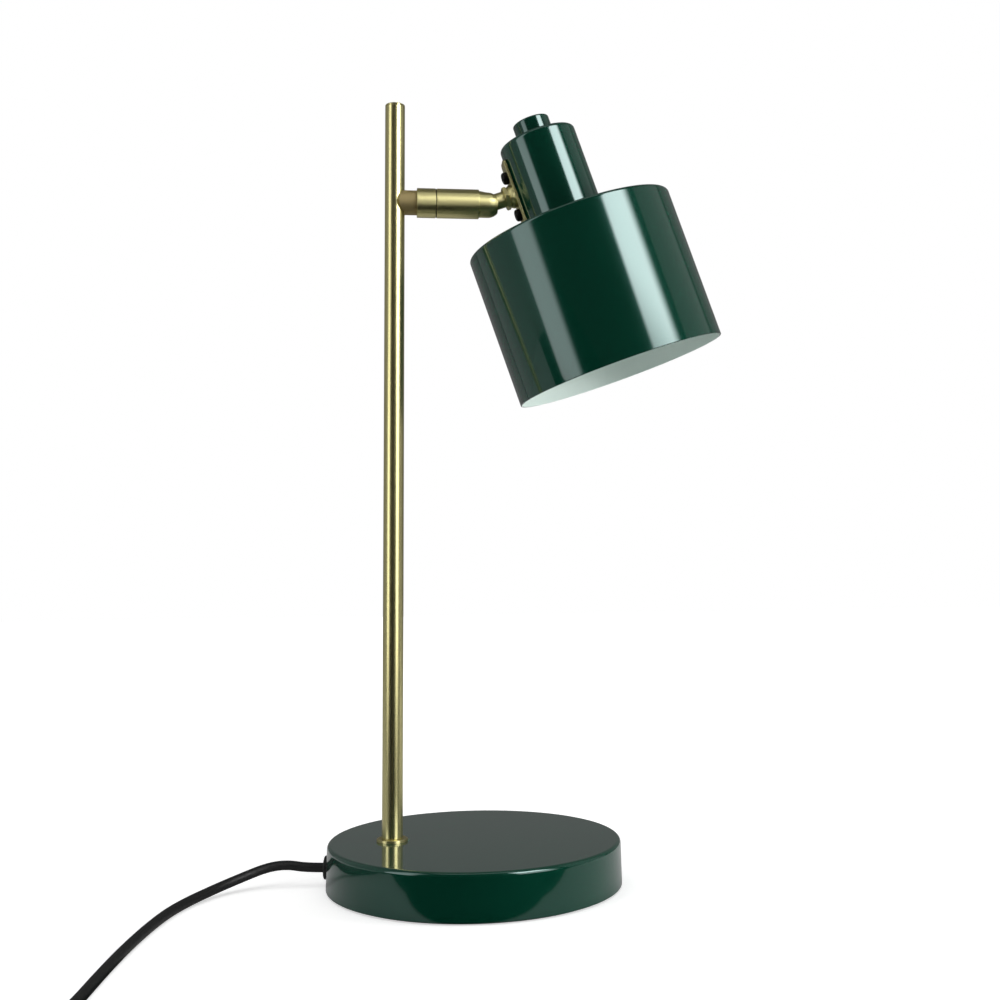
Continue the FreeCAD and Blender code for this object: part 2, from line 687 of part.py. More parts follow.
def build_pole():
    insert_top = FOOT_HEIGHT + POLE_INSERT_LENGTH
    pieces = {
        "pole_tube": pole_tube(),
        "pole_cap": pole_cap(),
        "pole_ring": foot_ring(),
        "pole_insert": tube(POLE_BORE - SEAT_FIT, POLE_NIPPLE_RADIUS + SEAT_FIT, FOOT_HEIGHT, insert_top),
        "pole_nipple": tube(POLE_NIPPLE_RADIUS, POLE_NIPPLE_BORE, POLE_NIPPLE_FOOT, insert_top),
        "pole_washer": tube(POLE_WASHER_RADIUS, POLE_NIPPLE_RADIUS + SEAT_FIT,
                            POLE_WASHER_UNDERSIDE, WEIGHT_UNDERSIDE),
        "pole_nut": nut(POLE_NUT_FLATS, POLE_NIPPLE_RADIUS + SEAT_FIT, POLE_NUT_UNDERSIDE,
                        POLE_WASHER_UNDERSIDE),
    }
    for name, shape in pieces.items():
        save(name, placed(shape, POLE_FRAME))


def pole_wires():
    """Supply wires from the terminal block, up the tube and into the arm."""
    foot = Vector(-POLE_OFFSET, 0, 0)
    back = Vector(-POLE_OFFSET - WIRE_SPREAD, 0, 0)
    route = [
        foot + TERMINAL_AXIS * (TERMINAL_SETBACK - FACE_GAP) + ALONG_Z * POLE_WIRE_LEVEL,
        foot + ALONG_Z * POLE_WIRE_LEVEL,
        foot + ALONG_Z * (FOOT_HEIGHT + POLE_INSERT_LENGTH),
        back + ALONG_Z * (FOOT_HEIGHT + 2 * POLE_INSERT_LENGTH),
        back + ALONG_Z * ARM_HEIGHT,
        Vector(ARM_NIPPLE_END - POLE_OFFSET, 0, ARM_HEIGHT),
    ]
    at_foot = TERMINAL_ACROSS * -1
    return wire_pair(route, [at_foot, at_foot, at_foot, ALONG_Y, ALONG_Y, ALONG_Y])


# Arm
def saddle_spacer():
    """Spacer whose ears straddle the upright."""
    blank = tube(SPACER_RADIUS, ARM_NIPPLE_RADIUS + SEAT_FIT, SPACER_EAR_START, SPACER_REACH)
    rounding_centre = SPACER_EAR_START + SPACER_EAR_ROUND
    half = SPACER_RADIUS + OVERRUN
    ears = bar(SPACER_EAR_ROUND, Vector(0, -half, rounding_centre), Vector(0, half, rounding_centre), ALONG_Y)
    body = block(Vector(-half, -half, rounding_centre), Vector(half, half, SPACER_REACH + OVERRUN))
    pole = bar(POLE_RADIUS + SEAT_FIT, ALONG_X * -half, ALONG_X * half, ALONG_X)
    return blank.common(ears.fuse(body)).cut(pole)


def stop_pin_spot():
    return Vector(-STOP_PIN_CIRCLE, 0, 0)


def swivel_collar():
    collar = tube(COLLAR_RADIUS, ARM_NIPPLE_RADIUS + SEAT_FIT, SPACER_REACH, COLLAR_END)
    collar = round_rims(collar, COLLAR_RADIUS, SPACER_REACH, COLLAR_EDGE)
    collar = round_rims(collar, COLLAR_RADIUS, COLLAR_END, COLLAR_EDGE)
    pin_start = COLLAR_END + STOP_PIN_SHOW - STOP_PIN_LENGTH
    return collar.cut(rod(STOP_PIN_RADIUS + SEAT_FIT, pin_start, COLLAR_END + OVERRUN, stop_pin_spot()))


def stop_pin():
    pin_end = COLLAR_END + STOP_PIN_SHOW
    return rod(STOP_PIN_RADIUS, pin_end - STOP_PIN_LENGTH, pin_end, stop_pin_spot())


def swivel_sleeve():
    """Turning sleeve: a bored end wall that runs on the nipple, and a thread for the socket."""
    sleeve = tube(COLLAR_RADIUS, ARM_NIPPLE_RADIUS + RUN_FIT, SLEEVE_START, SLEEVE_END)
    sleeve = sleeve.cut(rod(SLEEVE_BORE, SLEEVE_FLOOR, SLEEVE_END + OVERRUN))
    sleeve = round_rims(sleeve, COLLAR_RADIUS, SLEEVE_START, COLLAR_EDGE)
    sleeve = round_rims(sleeve, COLLAR_RADIUS, SLEEVE_END, COLLAR_EDGE)
    groove_half = STOP_PIN_RADIUS + SLIP_GAP
    groove = tube(STOP_PIN_CIRCLE + groove_half, STOP_PIN_CIRCLE - groove_half,
                  SLEEVE_START, SLEEVE_START + STOP_GROOVE_DEPTH)
    stop = block(Vector(0, -STOP_BLOCK_WIDTH / 2, SLEEVE_START),
                 Vector(COLLAR_RADIUS, STOP_BLOCK_WIDTH / 2, SLEEVE_START + STOP_GROOVE_DEPTH))
    return sleeve.cut(groove.cut(stop))


def stem_slot():
    """Cutters for the stem's way through the socket, from straight ahead to straight up."""
    ball = ALONG_Z * BALL_REACH
    clear = STEM_RADIUS + SLOT_GAP
    reach = NOSE_RADIUS + OVERRUN
    return [
        rod(clear, BALL_REACH, BALL_REACH + reach),
        bar(clear, ball, ball - ALONG_X * reach, ALONG_X * -1),
        block(ball + Vector(-reach, -clear, 0), ball + Vector(0, clear, reach)),
    ]


def socket_nose():
    """Ball socket: domed end, spigot in the sleeve, and the stem's slot."""
    ball = ALONG_Z * BALL_REACH
    body = rod(NOSE_RADIUS, SLEEVE_END, BALL_REACH).fuse(Part.makeSphere(NOSE_RADIUS, ball))
    spigot = rod(SLEEVE_BORE - SEAT_FIT, SPIGOT_START, SLEEVE_END)
    behind = block(Vector(-OVERRUN - NOSE_RADIUS, -OVERRUN - NOSE_RADIUS, 0),
                   Vector(OVERRUN + NOSE_RADIUS, OVERRUN + NOSE_RADIUS, SLEEVE_END))
    nose = body.cut(behind).fuse(spigot)
    nose = nose.cut(Part.makeSphere(SOCKET_RADIUS, ball))
    nose = nose.cut(rod(SOCKET_RADIUS, SPIGOT_START - OVERRUN, BALL_REACH))
    for cutter in stem_slot():
        nose = nose.cut(cutter)
    return nose


def ball_seat():
    """Seat behind the ball, notched where the stem swings straight up."""
    seat = tube(SOCKET_RADIUS - SEAT_FIT, STEM_BORE, SEAT_START, BALL_REACH - SEAT_CUP_DEPTH)
    seat = seat.cut(Part.makeSphere(SOCKET_RADIUS, ALONG_Z * BALL_REACH))
    for cutter in stem_slot():
        seat = seat.cut(cutter)
    return seat


def build_arm():
    pieces = {
        "saddle_spacer": saddle_spacer(),
        "arm_nipple": tube(ARM_NIPPLE_RADIUS, ARM_NIPPLE_BORE, ARM_NIPPLE_START, ARM_NIPPLE_END),
        "swivel_collar": swivel_collar(),
        "swivel_stop_pin": stop_pin(),
        "swivel_washer": tube(SWIVEL_WASHER_RADIUS, ARM_NIPPLE_RADIUS + SEAT_FIT,
                              SLEEVE_FLOOR + FACE_GAP, SWIVEL_NUT_START),
        "swivel_nut": nut(SWIVEL_NUT_FLATS, ARM_NIPPLE_RADIUS + SEAT_FIT, SWIVEL_NUT_START,
                          SWIVEL_NUT_START + SWIVEL_NUT_THICKNESS),
        "swivel_sleeve": swivel_sleeve(),
        "socket_nose": socket_nose(),
        "ball_seat": ball_seat(),
        "ball_spring": tube(SOCKET_RADIUS - SLIP_GAP, SPRING_INNER_RADIUS, SPRING_START,
                            SPRING_START + SPRING_THICKNESS),
        "spring_ring": tube(SOCKET_RADIUS - SEAT_FIT, SPRING_RING_BORE, SPRING_RING_START,
                            SPRING_RING_START + SPRING_RING_THICKNESS),
    }
    for name, shape in pieces.items():
        save(name, placed(shape, ARM_FRAME))
    save("pole_wires", *pole_wires())
    ends = [ALONG_Z * (ARM_NIPPLE_END + FACE_GAP), ALONG_Z * ARM_WIRE_END]
    save("arm_wires", *[placed(w, ARM_FRAME) for w in straight_pair(ends, ALONG_Y)])


# Ball stem, measured from the ball's centre along the stem
def stem_place(head_depth):
    """Distance from the ball to a place this far out from the head's axis."""
    return HEAD_OFFSET - head_depth


def ball_stem():
    ball = Part.makeSphere(BALL_RADIUS, Vector(0, 0, 0))
    stem = ball.fuse(rod(STEM_RADIUS, 0, stem_place(STEM_END)))
    stem = stem.cut(rod(STEM_BORE, -BALL_RADIUS - OVERRUN, stem_place(STEM_END) + OVERRUN))
    flare = Part.makeCone(STEM_FLARE, STEM_BORE, BALL_RADIUS, ALONG_Z * -BALL_RADIUS, ALONG_Z)
    return stem.cut(flare)


def locknut():
    start, end = stem_place(LOCKNUT_BACK) - LOCKNUT_THICKNESS, stem_place(LOCKNUT_BACK)
    corner = LOCKNUT_FLATS / math.sqrt(3)
    drum = turned([
        (0, start),
        (corner - LOCKNUT_CHAMFER, start),
        (corner, start + LOCKNUT_CHAMFER),
        (corner, end - LOCKNUT_CHAMFER),
        (corner - LOCKNUT_CHAMFER, end),
        (0, end),
    ])
    return nut(LOCKNUT_FLATS, STEM_RADIUS + SEAT_FIT, start, end).common(drum)


def ferrule():
    start, end = stem_place(FERRULE_FRONT), stem_place(BRACKET_FRONT)
    return turned([
        (STEM_RADIUS + RUN_FIT, start),
        (FERRULE_TIP_RADIUS, start),
        (FERRULE_RADIUS, (start + end) / 2),
        (FERRULE_RADIUS, end),
        (STEM_RADIUS + RUN_FIT, end),
    ])


def build_stem():
    inner_nut = nut(INNER_NUT_FLATS, STEM_RADIUS + SEAT_FIT, stem_place(INNER_NUT_OUTSIDE),
                    stem_place(INNER_NUT_INSIDE))
    pieces = {
        "ball_stem": ball_stem(),
        "stem_locknut": locknut(),
        "stem_inner_nut": inner_nut,
        "stem_ferrule": ferrule(),
    }
    for name, shape in pieces.items():
        save(name, placed(shape, STEM_FRAME))
    ends = [ALONG_Z * SEAT_FIT, ALONG_Z * stem_place(STEM_END)]
    save("stem_wires", *[placed(w, STEM_FRAME) for w in straight_pair(ends, ALONG_Y)])


# Head
def side_hole(radius, from_x, to_x, level):
    """A hole across the head's local X axis at this level."""
    return bar(radius, Vector(from_x, 0, level), Vector(to_x, 0, level), ALONG_X)


def screw_levels():
    half = BRACKET_SCREW_SPACING / 2
    return [SHOULDER_DROP - half, SHOULDER_DROP + half]


def drilled(shape, screw_radius):
    """Cuts the stem's hole and the two screw holes through a piece on the head's arm side."""
    shape = shape.cut(side_hole(STEM_RADIUS + RUN_FIT, -NECK_RADIUS - OVERRUN, -STEM_RADIUS, SHOULDER_DROP))
    for level in screw_levels():
        shape = shape.cut(side_hole(screw_radius, -NECK_RADIUS - OVERRUN, -STEM_RADIUS, level))
    return shape


def neck_cup():
    outer = round_rims(rod(NECK_RADIUS, 0, NECK_LENGTH), NECK_RADIUS, NECK_LENGTH, NECK_ROUND)
    inner = rod(NECK_BORE, 0, HOLDER_NECK_CEILING)
    inner = round_rims(inner, NECK_BORE, HOLDER_NECK_CEILING, NECK_ROUND - NECK_WALL)
    cup = outer.cut(inner).cut(rod(HEAD_NIPPLE_RADIUS + SEAT_FIT, 0, NECK_LENGTH + OVERRUN))
    return drilled(cup, BRACKET_SCREW_RADIUS + SEAT_FIT)


def shade():
    outer = round_rims(rod(SHADE_RADIUS, -SHADE_LENGTH, 0), SHADE_RADIUS, 0, SHADE_ROUND)
    inner = rod(SHADE_RADIUS - SHADE_WALL, -SHADE_LENGTH - OVERRUN, -SHADE_WALL)
    inner = round_rims(inner, SHADE_RADIUS - SHADE_WALL, -SHADE_WALL, SHADE_ROUND - SHADE_WALL)
    return outer.cut(inner).cut(rod(HOLDER_THREAD_RADIUS + SEAT_FIT, -OVERRUN, OVERRUN))


def finial_cap():
    top = NECK_LENGTH + FINIAL_HEIGHT
    cap = round_rims(rod(FINIAL_RADIUS, NECK_LENGTH, top), FINIAL_RADIUS, top, FINIAL_ROUND)
    return cap.cut(rod(HEAD_NIPPLE_RADIUS + SEAT_FIT, NECK_LENGTH, NECK_LENGTH + FINIAL_BORE_DEPTH))


def bracket_plate():
    half_width, half_length = BRACKET_WIDTH / 2, BRACKET_LENGTH / 2
    plate = block(Vector(-BRACKET_FRONT, -half_width, SHOULDER_DROP - half_length),
                  Vector(-BRACKET_BACK, half_width, SHOULDER_DROP + half_length))
    plate = plate.makeFillet(BRACKET_SCREW_HEAD_RADIUS, edges_along(plate, ALONG_X))
    return drilled(plate, BRACKET_SCREW_RADIUS + SEAT_FIT)


def bracket_backing():
    half_width, half_length = BRACKET_WIDTH / 2, BRACKET_LENGTH / 2
    low, high = SHOULDER_DROP - half_length, SHOULDER_DROP + half_length
    strip = block(Vector(-NECK_RADIUS, -half_width, low), Vector(-BACKING_INSIDE, half_width, high))
    return drilled(strip.common(rod(BACKING_OUTSIDE, low, high)), BRACKET_SCREW_RADIUS + SEAT_FIT)


def bracket_screw(level):
    """Pan-head screw through plate and neck into the backing strip."""
    face = -BRACKET_FRONT
    tip = -BACKING_INSIDE - SEAT_FIT
    top = face - BRACKET_SCREW_HEAD_HEIGHT
    head = bar(BRACKET_SCREW_HEAD_RADIUS, Vector(top, 0, level), Vector(face, 0, level), ALONG_X)
    head = round_rims(head, BRACKET_SCREW_HEAD_RADIUS, top, BRACKET_SCREW_DOME, ALONG_X)
    return head.fuse(side_hole(BRACKET_SCREW_RADIUS, face, tip, level))


def lampholder_cap():
    outer = round_rims(rod(HOLDER_CAP_RADIUS, HOLDER_SPLIT, HOLDER_CAP_TOP), HOLDER_CAP_RADIUS,
                       HOLDER_CAP_TOP, HOLDER_CAP_ROUND)
    cavity = rod(HOLDER_CAP_RADIUS - HOLDER_CAP_WALL, HOLDER_SPLIT, HOLDER_CAP_TOP - HOLDER_CAP_WALL)
    cap = outer.cut(cavity).cut(rod(HEAD_NIPPLE_RADIUS + SEAT_FIT, HOLDER_SPLIT, HOLDER_CAP_TOP + OVERRUN))
    return cap.cut(side_hole(GROMMET_RADIUS, -HOLDER_CAP_RADIUS - OVERRUN, 0, SHOULDER_DROP))


def lampholder_body():
    spigot = HOLDER_CAP_RADIUS - HOLDER_CAP_WALL - SEAT_FIT
    body = turned([
        (0, -HOLDER_DROP),
        (HOLDER_THREAD_RADIUS, -HOLDER_DROP),
        (HOLDER_THREAD_RADIUS, 0),
        (HOLDER_FLANGE_RADIUS, 0),
        (HOLDER_FLANGE_RADIUS, HOLDER_FLANGE_THICKNESS),
        (HOLDER_RADIUS, HOLDER_FLANGE_THICKNESS),
        (HOLDER_RADIUS, HOLDER_SPLIT),
        (spigot, HOLDER_SPLIT),
        (spigot, HOLDER_SPLIT + HOLDER_SPIGOT),
        (0, HOLDER_SPLIT + HOLDER_SPIGOT),
    ])
    lamp_bore = rod(LAMP_BORE_RADIUS + LAMP_SHELL_WALL + SEAT_FIT, -HOLDER_DROP - OVERRUN, HOLDER_FLOOR)
    wire_space = rod(spigot - HOLDER_CAP_WALL, HOLDER_SPLIT + HOLDER_SPIGOT - HOLDER_WIRE_SPACE,
                     HOLDER_SPLIT + HOLDER_SPIGOT + OVERRUN)
    return body.cut(lamp_bore).cut(wire_space)


def head_wires():
    """Wires from the end of the stem into the lampholder's cap."""
    ends = [Vector(-STEM_END + FACE_GAP, 0, SHOULDER_DROP),
            Vector(-HOLDER_RADIUS / 2, 0, SHOULDER_DROP)]
    return straight_pair(ends, ALONG_Y)


def build_head():
    nipple_top = NECK_LENGTH + FINIAL_BORE_DEPTH - FACE_GAP
    nipple_foot = HOLDER_CAP_TOP - HEAD_NIPPLE_GRIP
    shell = tube(LAMP_BORE_RADIUS + LAMP_SHELL_WALL, LAMP_BORE_RADIUS, -LAMP_SHELL_START,
                 LAMP_BORE_LENGTH - LAMP_SHELL_START)
    contact_low = Vector(-CONTACT_LENGTH / 2, -CONTACT_WIDTH / 2, HOLDER_FLOOR - CONTACT_THICKNESS)
    contact_high = Vector(CONTACT_LENGTH / 2, CONTACT_WIDTH / 2, HOLDER_FLOOR)
    pieces = {
        "neck_cup": [neck_cup()],
        "shade": [shade()],
        "finial_cap": [finial_cap()],
        "bracket_plate": [bracket_plate()],
        "bracket_backing": [bracket_backing()],
        "bracket_screws": [bracket_screw(level) for level in screw_levels()],
        "head_nipple": [tube(HEAD_NIPPLE_RADIUS, HEAD_NIPPLE_BORE, nipple_foot, nipple_top)],
        "head_nut": [nut(HEAD_NUT_FLATS, HEAD_NIPPLE_RADIUS + SEAT_FIT,
                         HOLDER_NECK_CEILING - HEAD_NUT_THICKNESS, HOLDER_NECK_CEILING)],
        "lampholder_cap": [lampholder_cap()],
        "lampholder_body": [lampholder_body()],
        "lampholder_contacts": [shell, block(contact_low, contact_high)],
        "shade_ring": [tube(SHADE_RING_RADIUS, HOLDER_THREAD_RADIUS + SEAT_FIT,
                            -SHADE_WALL - SHADE_RING_HEIGHT, -SHADE_WALL)],
        "head_wires": head_wires(),
    }
    for name, solids in pieces.items():
        save(name, *[placed(solid, HEAD_FRAME) for solid in solids])


# Gland and the wiring behind it, measured outwards from the foot's centre
def cord_gland():
    flange = bar(GLAND_FLANGE_RADIUS, ALONG_X * GLAND_SEAT, ALONG_X * GLAND_FACE, ALONG_X)
    flange = round_rims(flange, GLAND_FLANGE_RADIUS, GLAND_FACE, GLAND_FLANGE_ROUND, ALONG_X)
    inner_end = GLAND_SEAT - GLAND_TUBE_LENGTH
    body = flange.fuse(bar(GLAND_TUBE_RADIUS, ALONG_X * inner_end, ALONG_X * GLAND_SEAT, ALONG_X))
    return body.cut(bar(CORD_RADIUS + SEAT_FIT, ALONG_X * (inner_end - OVERRUN),
                        ALONG_X * (GLAND_FACE + OVERRUN), ALONG_X))


def gland_nut():
    end = FOOT_TOP_RADIUS - FOOT_WALL - SLIP_GAP
    shape = nut(GLAND_NUT_FLATS, GLAND_TUBE_RADIUS + SEAT_FIT, end - GLAND_NUT_THICKNESS, end)
    return placed(shape, Placement(Vector(0, 0, 0), Rotation(ALONG_Y, 90)))


def cord_clamp():
    saddle = block(Vector(CLAMP_INNER, -CLAMP_WIDTH / 2, -CLAMP_BELOW),
                   Vector(CLAMP_OUTER, CLAMP_WIDTH / 2, WEIGHT_UNDERSIDE - GLAND_HEIGHT))
    return saddle.cut(bar(CORD_RADIUS + SEAT_FIT, ALONG_X * (CLAMP_INNER - OVERRUN),
                          ALONG_X * (CLAMP_OUTER + OVERRUN), ALONG_X))


def terminal_block():
    """Terminal block between the clamp and the upright's nut, square to the line that joins them."""
    return block(Vector(TERMINAL_SETBACK, -TERMINAL_WIDTH / 2, TERMINAL_FOOT),
                 Vector(TERMINAL_SETBACK + TERMINAL_LENGTH, TERMINAL_WIDTH / 2, WEIGHT_UNDERSIDE))


def lead_cores():
    """The lead's two cores between the clamp and the terminal block."""
    level = ALONG_Z * GLAND_HEIGHT
    ends = [ALONG_X * (TERMINAL_SETBACK + TERMINAL_LENGTH + FACE_GAP) + level,
            ALONG_X * (POLE_TO_CLAMP.Length - FACE_GAP) + level]
    return [placed(core, TERMINAL_FRAME) for core in straight_pair(ends, ALONG_Y)]


def build_gland():
    pieces = {
        "cord_gland": cord_gland(),
        "gland_nut": gland_nut(),
        "cord_clamp": cord_clamp(),
    }
    for name, shape in pieces.items():
        save(name, placed(shape, GLAND_FRAME))
    save("terminal_block", placed(terminal_block(), TERMINAL_FRAME))
    sheath = bar(CORD_RADIUS, ALONG_X * CLAMP_INNER, ALONG_X * GLAND_FACE, ALONG_X)
    save("lead_inner", placed(sheath, GLAND_FRAME), *lead_cores())


# In-line switch, measured from its centre on the table, with local X along the lead
def switch_block(low, high):
    """Switch body between two heights: parallel sides that taper to both ends."""
    half, end = SWITCH_LENGTH / 2, SWITCH_END_WIDTH / 2
    shoulder, side = SWITCH_LENGTH / 2 - SWITCH_SHOULDER, SWITCH_WIDTH / 2
    outline = [(half, -end), (shoulder, -side), (-shoulder, -side), (-half, -end),
               (-half, end), (-shoulder, side), (shoulder, side), (half, end)]
    points = [Vector(x, y, low) for x, y in outline]
    return Part.Face(Part.makePolygon(points + points[:1])).extrude(ALONG_Z * (high - low))


def edges_at(shape, level):
    """Edges that lie whole at this height."""
    return [e for e in shape.Edges
            if all(abs(v.Z - level) < SEAT_FIT / 2 for v in e.Vertexes) and len(e.Vertexes) == 2]


def switch_screw_spots():
    half = SWITCH_SCREW_SPACING / 2
    return [Vector(-half, 0, 0), Vector(half, 0, 0)]


def cord_passage():
    half = SWITCH_LENGTH / 2 + OVERRUN
    inner = SWITCH_LENGTH / 2 - SWITCH_SHOULDER
    radius = CORD_RADIUS + SEAT_FIT
    return [bar(radius, Vector(x0, 0, SWITCH_SPLIT), Vector(x1, 0, SWITCH_SPLIT), ALONG_X)
            for x0, x1 in ((-half, -inner), (inner, half))]


def switch_lower():
    shell = switch_block(0, SWITCH_SPLIT)
    shell = shell.makeFillet(SWITCH_ROUND, edges_along(shell, ALONG_Z))
    shell = shell.makeFillet(SWITCH_WALL / 2, edges_at(shell, 0))
    inner_half = SWITCH_LENGTH / 2 - SWITCH_SHOULDER
    side = SWITCH_WIDTH / 2 - SWITCH_WALL
    shell = shell.cut(block(Vector(-inner_half, -side, SWITCH_WALL),
                            Vector(inner_half, side, SWITCH_SPLIT + OVERRUN)))
    for spot in switch_screw_spots():
        shell = shell.fuse(rod(SWITCH_SCREW_BOSS + SEAT_FIT, SWITCH_WALL / 2, SWITCH_SPLIT, spot))
        shell = shell.cut(rod(SWITCH_SCREW_RADIUS + SEAT_FIT, -OVERRUN, SWITCH_SPLIT + OVERRUN, spot))
        shell = shell.cut(rod(SWITCH_SCREW_HEAD_RADIUS - SEAT_FIT, -OVERRUN, SWITCH_SCREW_HEAD_DEPTH, spot))
    for passage in cord_passage():
        shell = shell.cut(passage)
    return shell


def switch_upper():
    low = SWITCH_SPLIT + SWITCH_SEAM
    shell = switch_block(low, SWITCH_HEIGHT)
    shell = shell.makeFillet(SWITCH_ROUND, edges_along(shell, ALONG_Z))
    shell = shell.makeFillet(SWITCH_ROUND, edges_at(shell, SWITCH_HEIGHT))
    inner_half = SWITCH_LENGTH / 2 - SWITCH_SHOULDER
    side = SWITCH_WIDTH / 2 - SWITCH_WALL
    shell = shell.cut(block(Vector(-inner_half, -side, low - OVERRUN),
                            Vector(inner_half, side, SWITCH_HEIGHT - SWITCH_WALL)))
    half_length, half_width = ROCKER_LENGTH / 2 + 3 * SLIP_GAP, ROCKER_WIDTH / 2 + SLIP_GAP
    shell = shell.cut(block(Vector(-half_length, -half_width, low),
                            Vector(half_length, half_width, SWITCH_HEIGHT + OVERRUN)))
    level = SWITCH_HEIGHT - ROCKER_PIVOT_DROP
    ear_inner = ROCKER_WIDTH / 2 + SLIP_GAP
    ear_outer = ear_inner + ROCKER_EAR_THICKNESS
    hole = ROCKER_PIN_RADIUS + RUN_FIT
    for side_sign in (-1, 1):
        y0, y1 = sorted((side_sign * ear_inner, side_sign * ear_outer))
        ear = block(Vector(-2 * hole, y0, level - 2 * hole),
                    Vector(2 * hole, y1, SWITCH_HEIGHT - SWITCH_WALL / 2))
        shell = shell.fuse(ear)
    shell = shell.cut(bar(hole, Vector(0, -ear_outer - SLIP_GAP, level),
                          Vector(0, ear_outer + SLIP_GAP, level), ALONG_Y))
    ceiling = SWITCH_HEIGHT - SWITCH_WALL
    for spot in switch_screw_spots():
        shell = shell.fuse(rod(SWITCH_SCREW_BOSS, low, ceiling, spot))
        shell = shell.cut(rod(SWITCH_SCREW_RADIUS + SEAT_FIT, low - OVERRUN, ceiling, spot))
    for passage in cord_passage():
        shell = shell.cut(passage)
    return shell


def switch_rocker():
    """Rocker with a shallow V crown and two pivot pins, at rest tipped to one side."""
    half, side = ROCKER_LENGTH / 2, ROCKER_WIDTH / 2
    level = SWITCH_HEIGHT - ROCKER_PIVOT_DROP
    bottom = level - ROCKER_DEPTH + ROCKER_PIVOT_DROP
    top = SWITCH_HEIGHT + ROCKER_CROWN
    dip = SWITCH_HEIGHT + ROCKER_CROWN / 2
    inset = ROCKER_LENGTH / 4
    outline = [(-inset, bottom), (inset, bottom), (half, SWITCH_HEIGHT - SWITCH_WALL), (half, top), (0, dip),
               (-half, top), (-half, SWITCH_HEIGHT - SWITCH_WALL)]
    points = [Vector(x, -side, z) for x, z in outline]
    rocker = Part.Face(Part.makePolygon(points + points[:1])).extrude(ALONG_Y * ROCKER_WIDTH)
    reach = side + ROCKER_PIN_SHOW
    rocker = rocker.fuse(bar(ROCKER_PIN_RADIUS, Vector(0, -reach, level), Vector(0, reach, level), ALONG_Y))
    pivot = Vector(0, 0, level)
    tip = Placement(Vector(0, 0, 0), Rotation(ALONG_Y, ROCKER_TILT), pivot)
    return placed(rocker, tip)


def switch_screw(spot):
    top = SWITCH_HEIGHT - SWITCH_WALL - FACE_GAP
    head_top = SWITCH_SCREW_HEAD_DEPTH
    head = rod(SWITCH_SCREW_HEAD_RADIUS - 2 * SEAT_FIT, SEAT_FIT, head_top, spot)
    return head.fuse(rod(SWITCH_SCREW_RADIUS, head_top, top, spot))


def switch_terminal(side):
    """Brass terminal that stands on the lower shell's floor."""
    middle = side * SWITCH_TERMINAL_SPACING / 2
    half = SWITCH_TERMINAL_LENGTH / 2
    shelf = SWITCH_WIDTH / 2 - SWITCH_WALL - FACE_GAP
    return block(Vector(middle - half, shelf - SWITCH_TERMINAL_WIDTH, SWITCH_WALL),
                 Vector(middle + half, shelf, SWITCH_WALL + SWITCH_TERMINAL_HEIGHT))


def build_switch():
    pieces = {
        "switch_lower": [switch_lower()],
        "switch_upper": [switch_upper()],
        "switch_rocker": [switch_rocker()],
        "switch_screws": [switch_screw(spot) for spot in switch_screw_spots()],
        "switch_terminals": [switch_terminal(side) for side in (-1, 1)],
    }
    for name, solids in pieces.items():
        save(name, *[placed(solid, SWITCH_FRAME) for solid in solids])


# Plug, measured from the tip of its strain relief, with local X towards the pins
def plug_body():
    relief_end = PLUG_RELIEF_LENGTH
    front = relief_end + PLUG_LENGTH
    tail, side, half = PLUG_TAIL_WIDTH / 2, PLUG_WIDTH / 2, PLUG_THICKNESS / 2
    outline = [(relief_end, -tail), (relief_end + PLUG_SHOULDER, -side), (front, -side),
               (front, side), (relief_end + PLUG_SHOULDER, side), (relief_end, tail)]
    points = [Vector(x, y, -half) for x, y in outline]
    body = Part.Face(Part.makePolygon(points + points[:1])).extrude(ALONG_Z * PLUG_THICKNESS)
    body = body.makeFillet(PLUG_ROUND, body.Edges)
    relief = Part.makeCone(PLUG_RELIEF_TIP_RADIUS, PLUG_RELIEF_RADIUS, relief_end + PLUG_RELIEF_BITE,
                           Vector(0, 0, 0), ALONG_X)
    body = body.fuse(relief)
    for y in (-PIN_SPACING / 2, PIN_SPACING / 2):
        sleeve = bar(PIN_SLEEVE_RADIUS, Vector(front - PIN_ROOT / 2, y, 0),
                     Vector(front + PIN_SLEEVE_LENGTH, y, 0), ALONG_X)
        body = body.fuse(sleeve).cut(bar(PIN_CORE_RADIUS + SEAT_FIT, Vector(front - PIN_ROOT, y, 0),
                                         Vector(front + PIN_LENGTH, y, 0), ALONG_X))
    return body


def plug_pin(y):
    """Pin with a thin core inside its insulating sleeve and a full-width bare end."""
    front = PLUG_RELIEF_LENGTH + PLUG_LENGTH
    shoulder = front + PIN_SLEEVE_LENGTH
    tip = front + PIN_LENGTH
    end = bar(PIN_RADIUS, Vector(shoulder, y, 0), Vector(tip, y, 0), ALONG_X)
    end = round_rims(end, PIN_RADIUS, tip, PIN_TIP_ROUND, ALONG_X)
    core = bar(PIN_CORE_RADIUS, Vector(front - PIN_ROOT, y, 0), Vector(shoulder, y, 0), ALONG_X)
    return end.fuse(core)


def build_plug():
    save("plug_body", placed(plug_body(), PLUG_FRAME))
    save("plug_pins", *[placed(plug_pin(y), PLUG_FRAME) for y in (-PIN_SPACING / 2, PIN_SPACING / 2)])


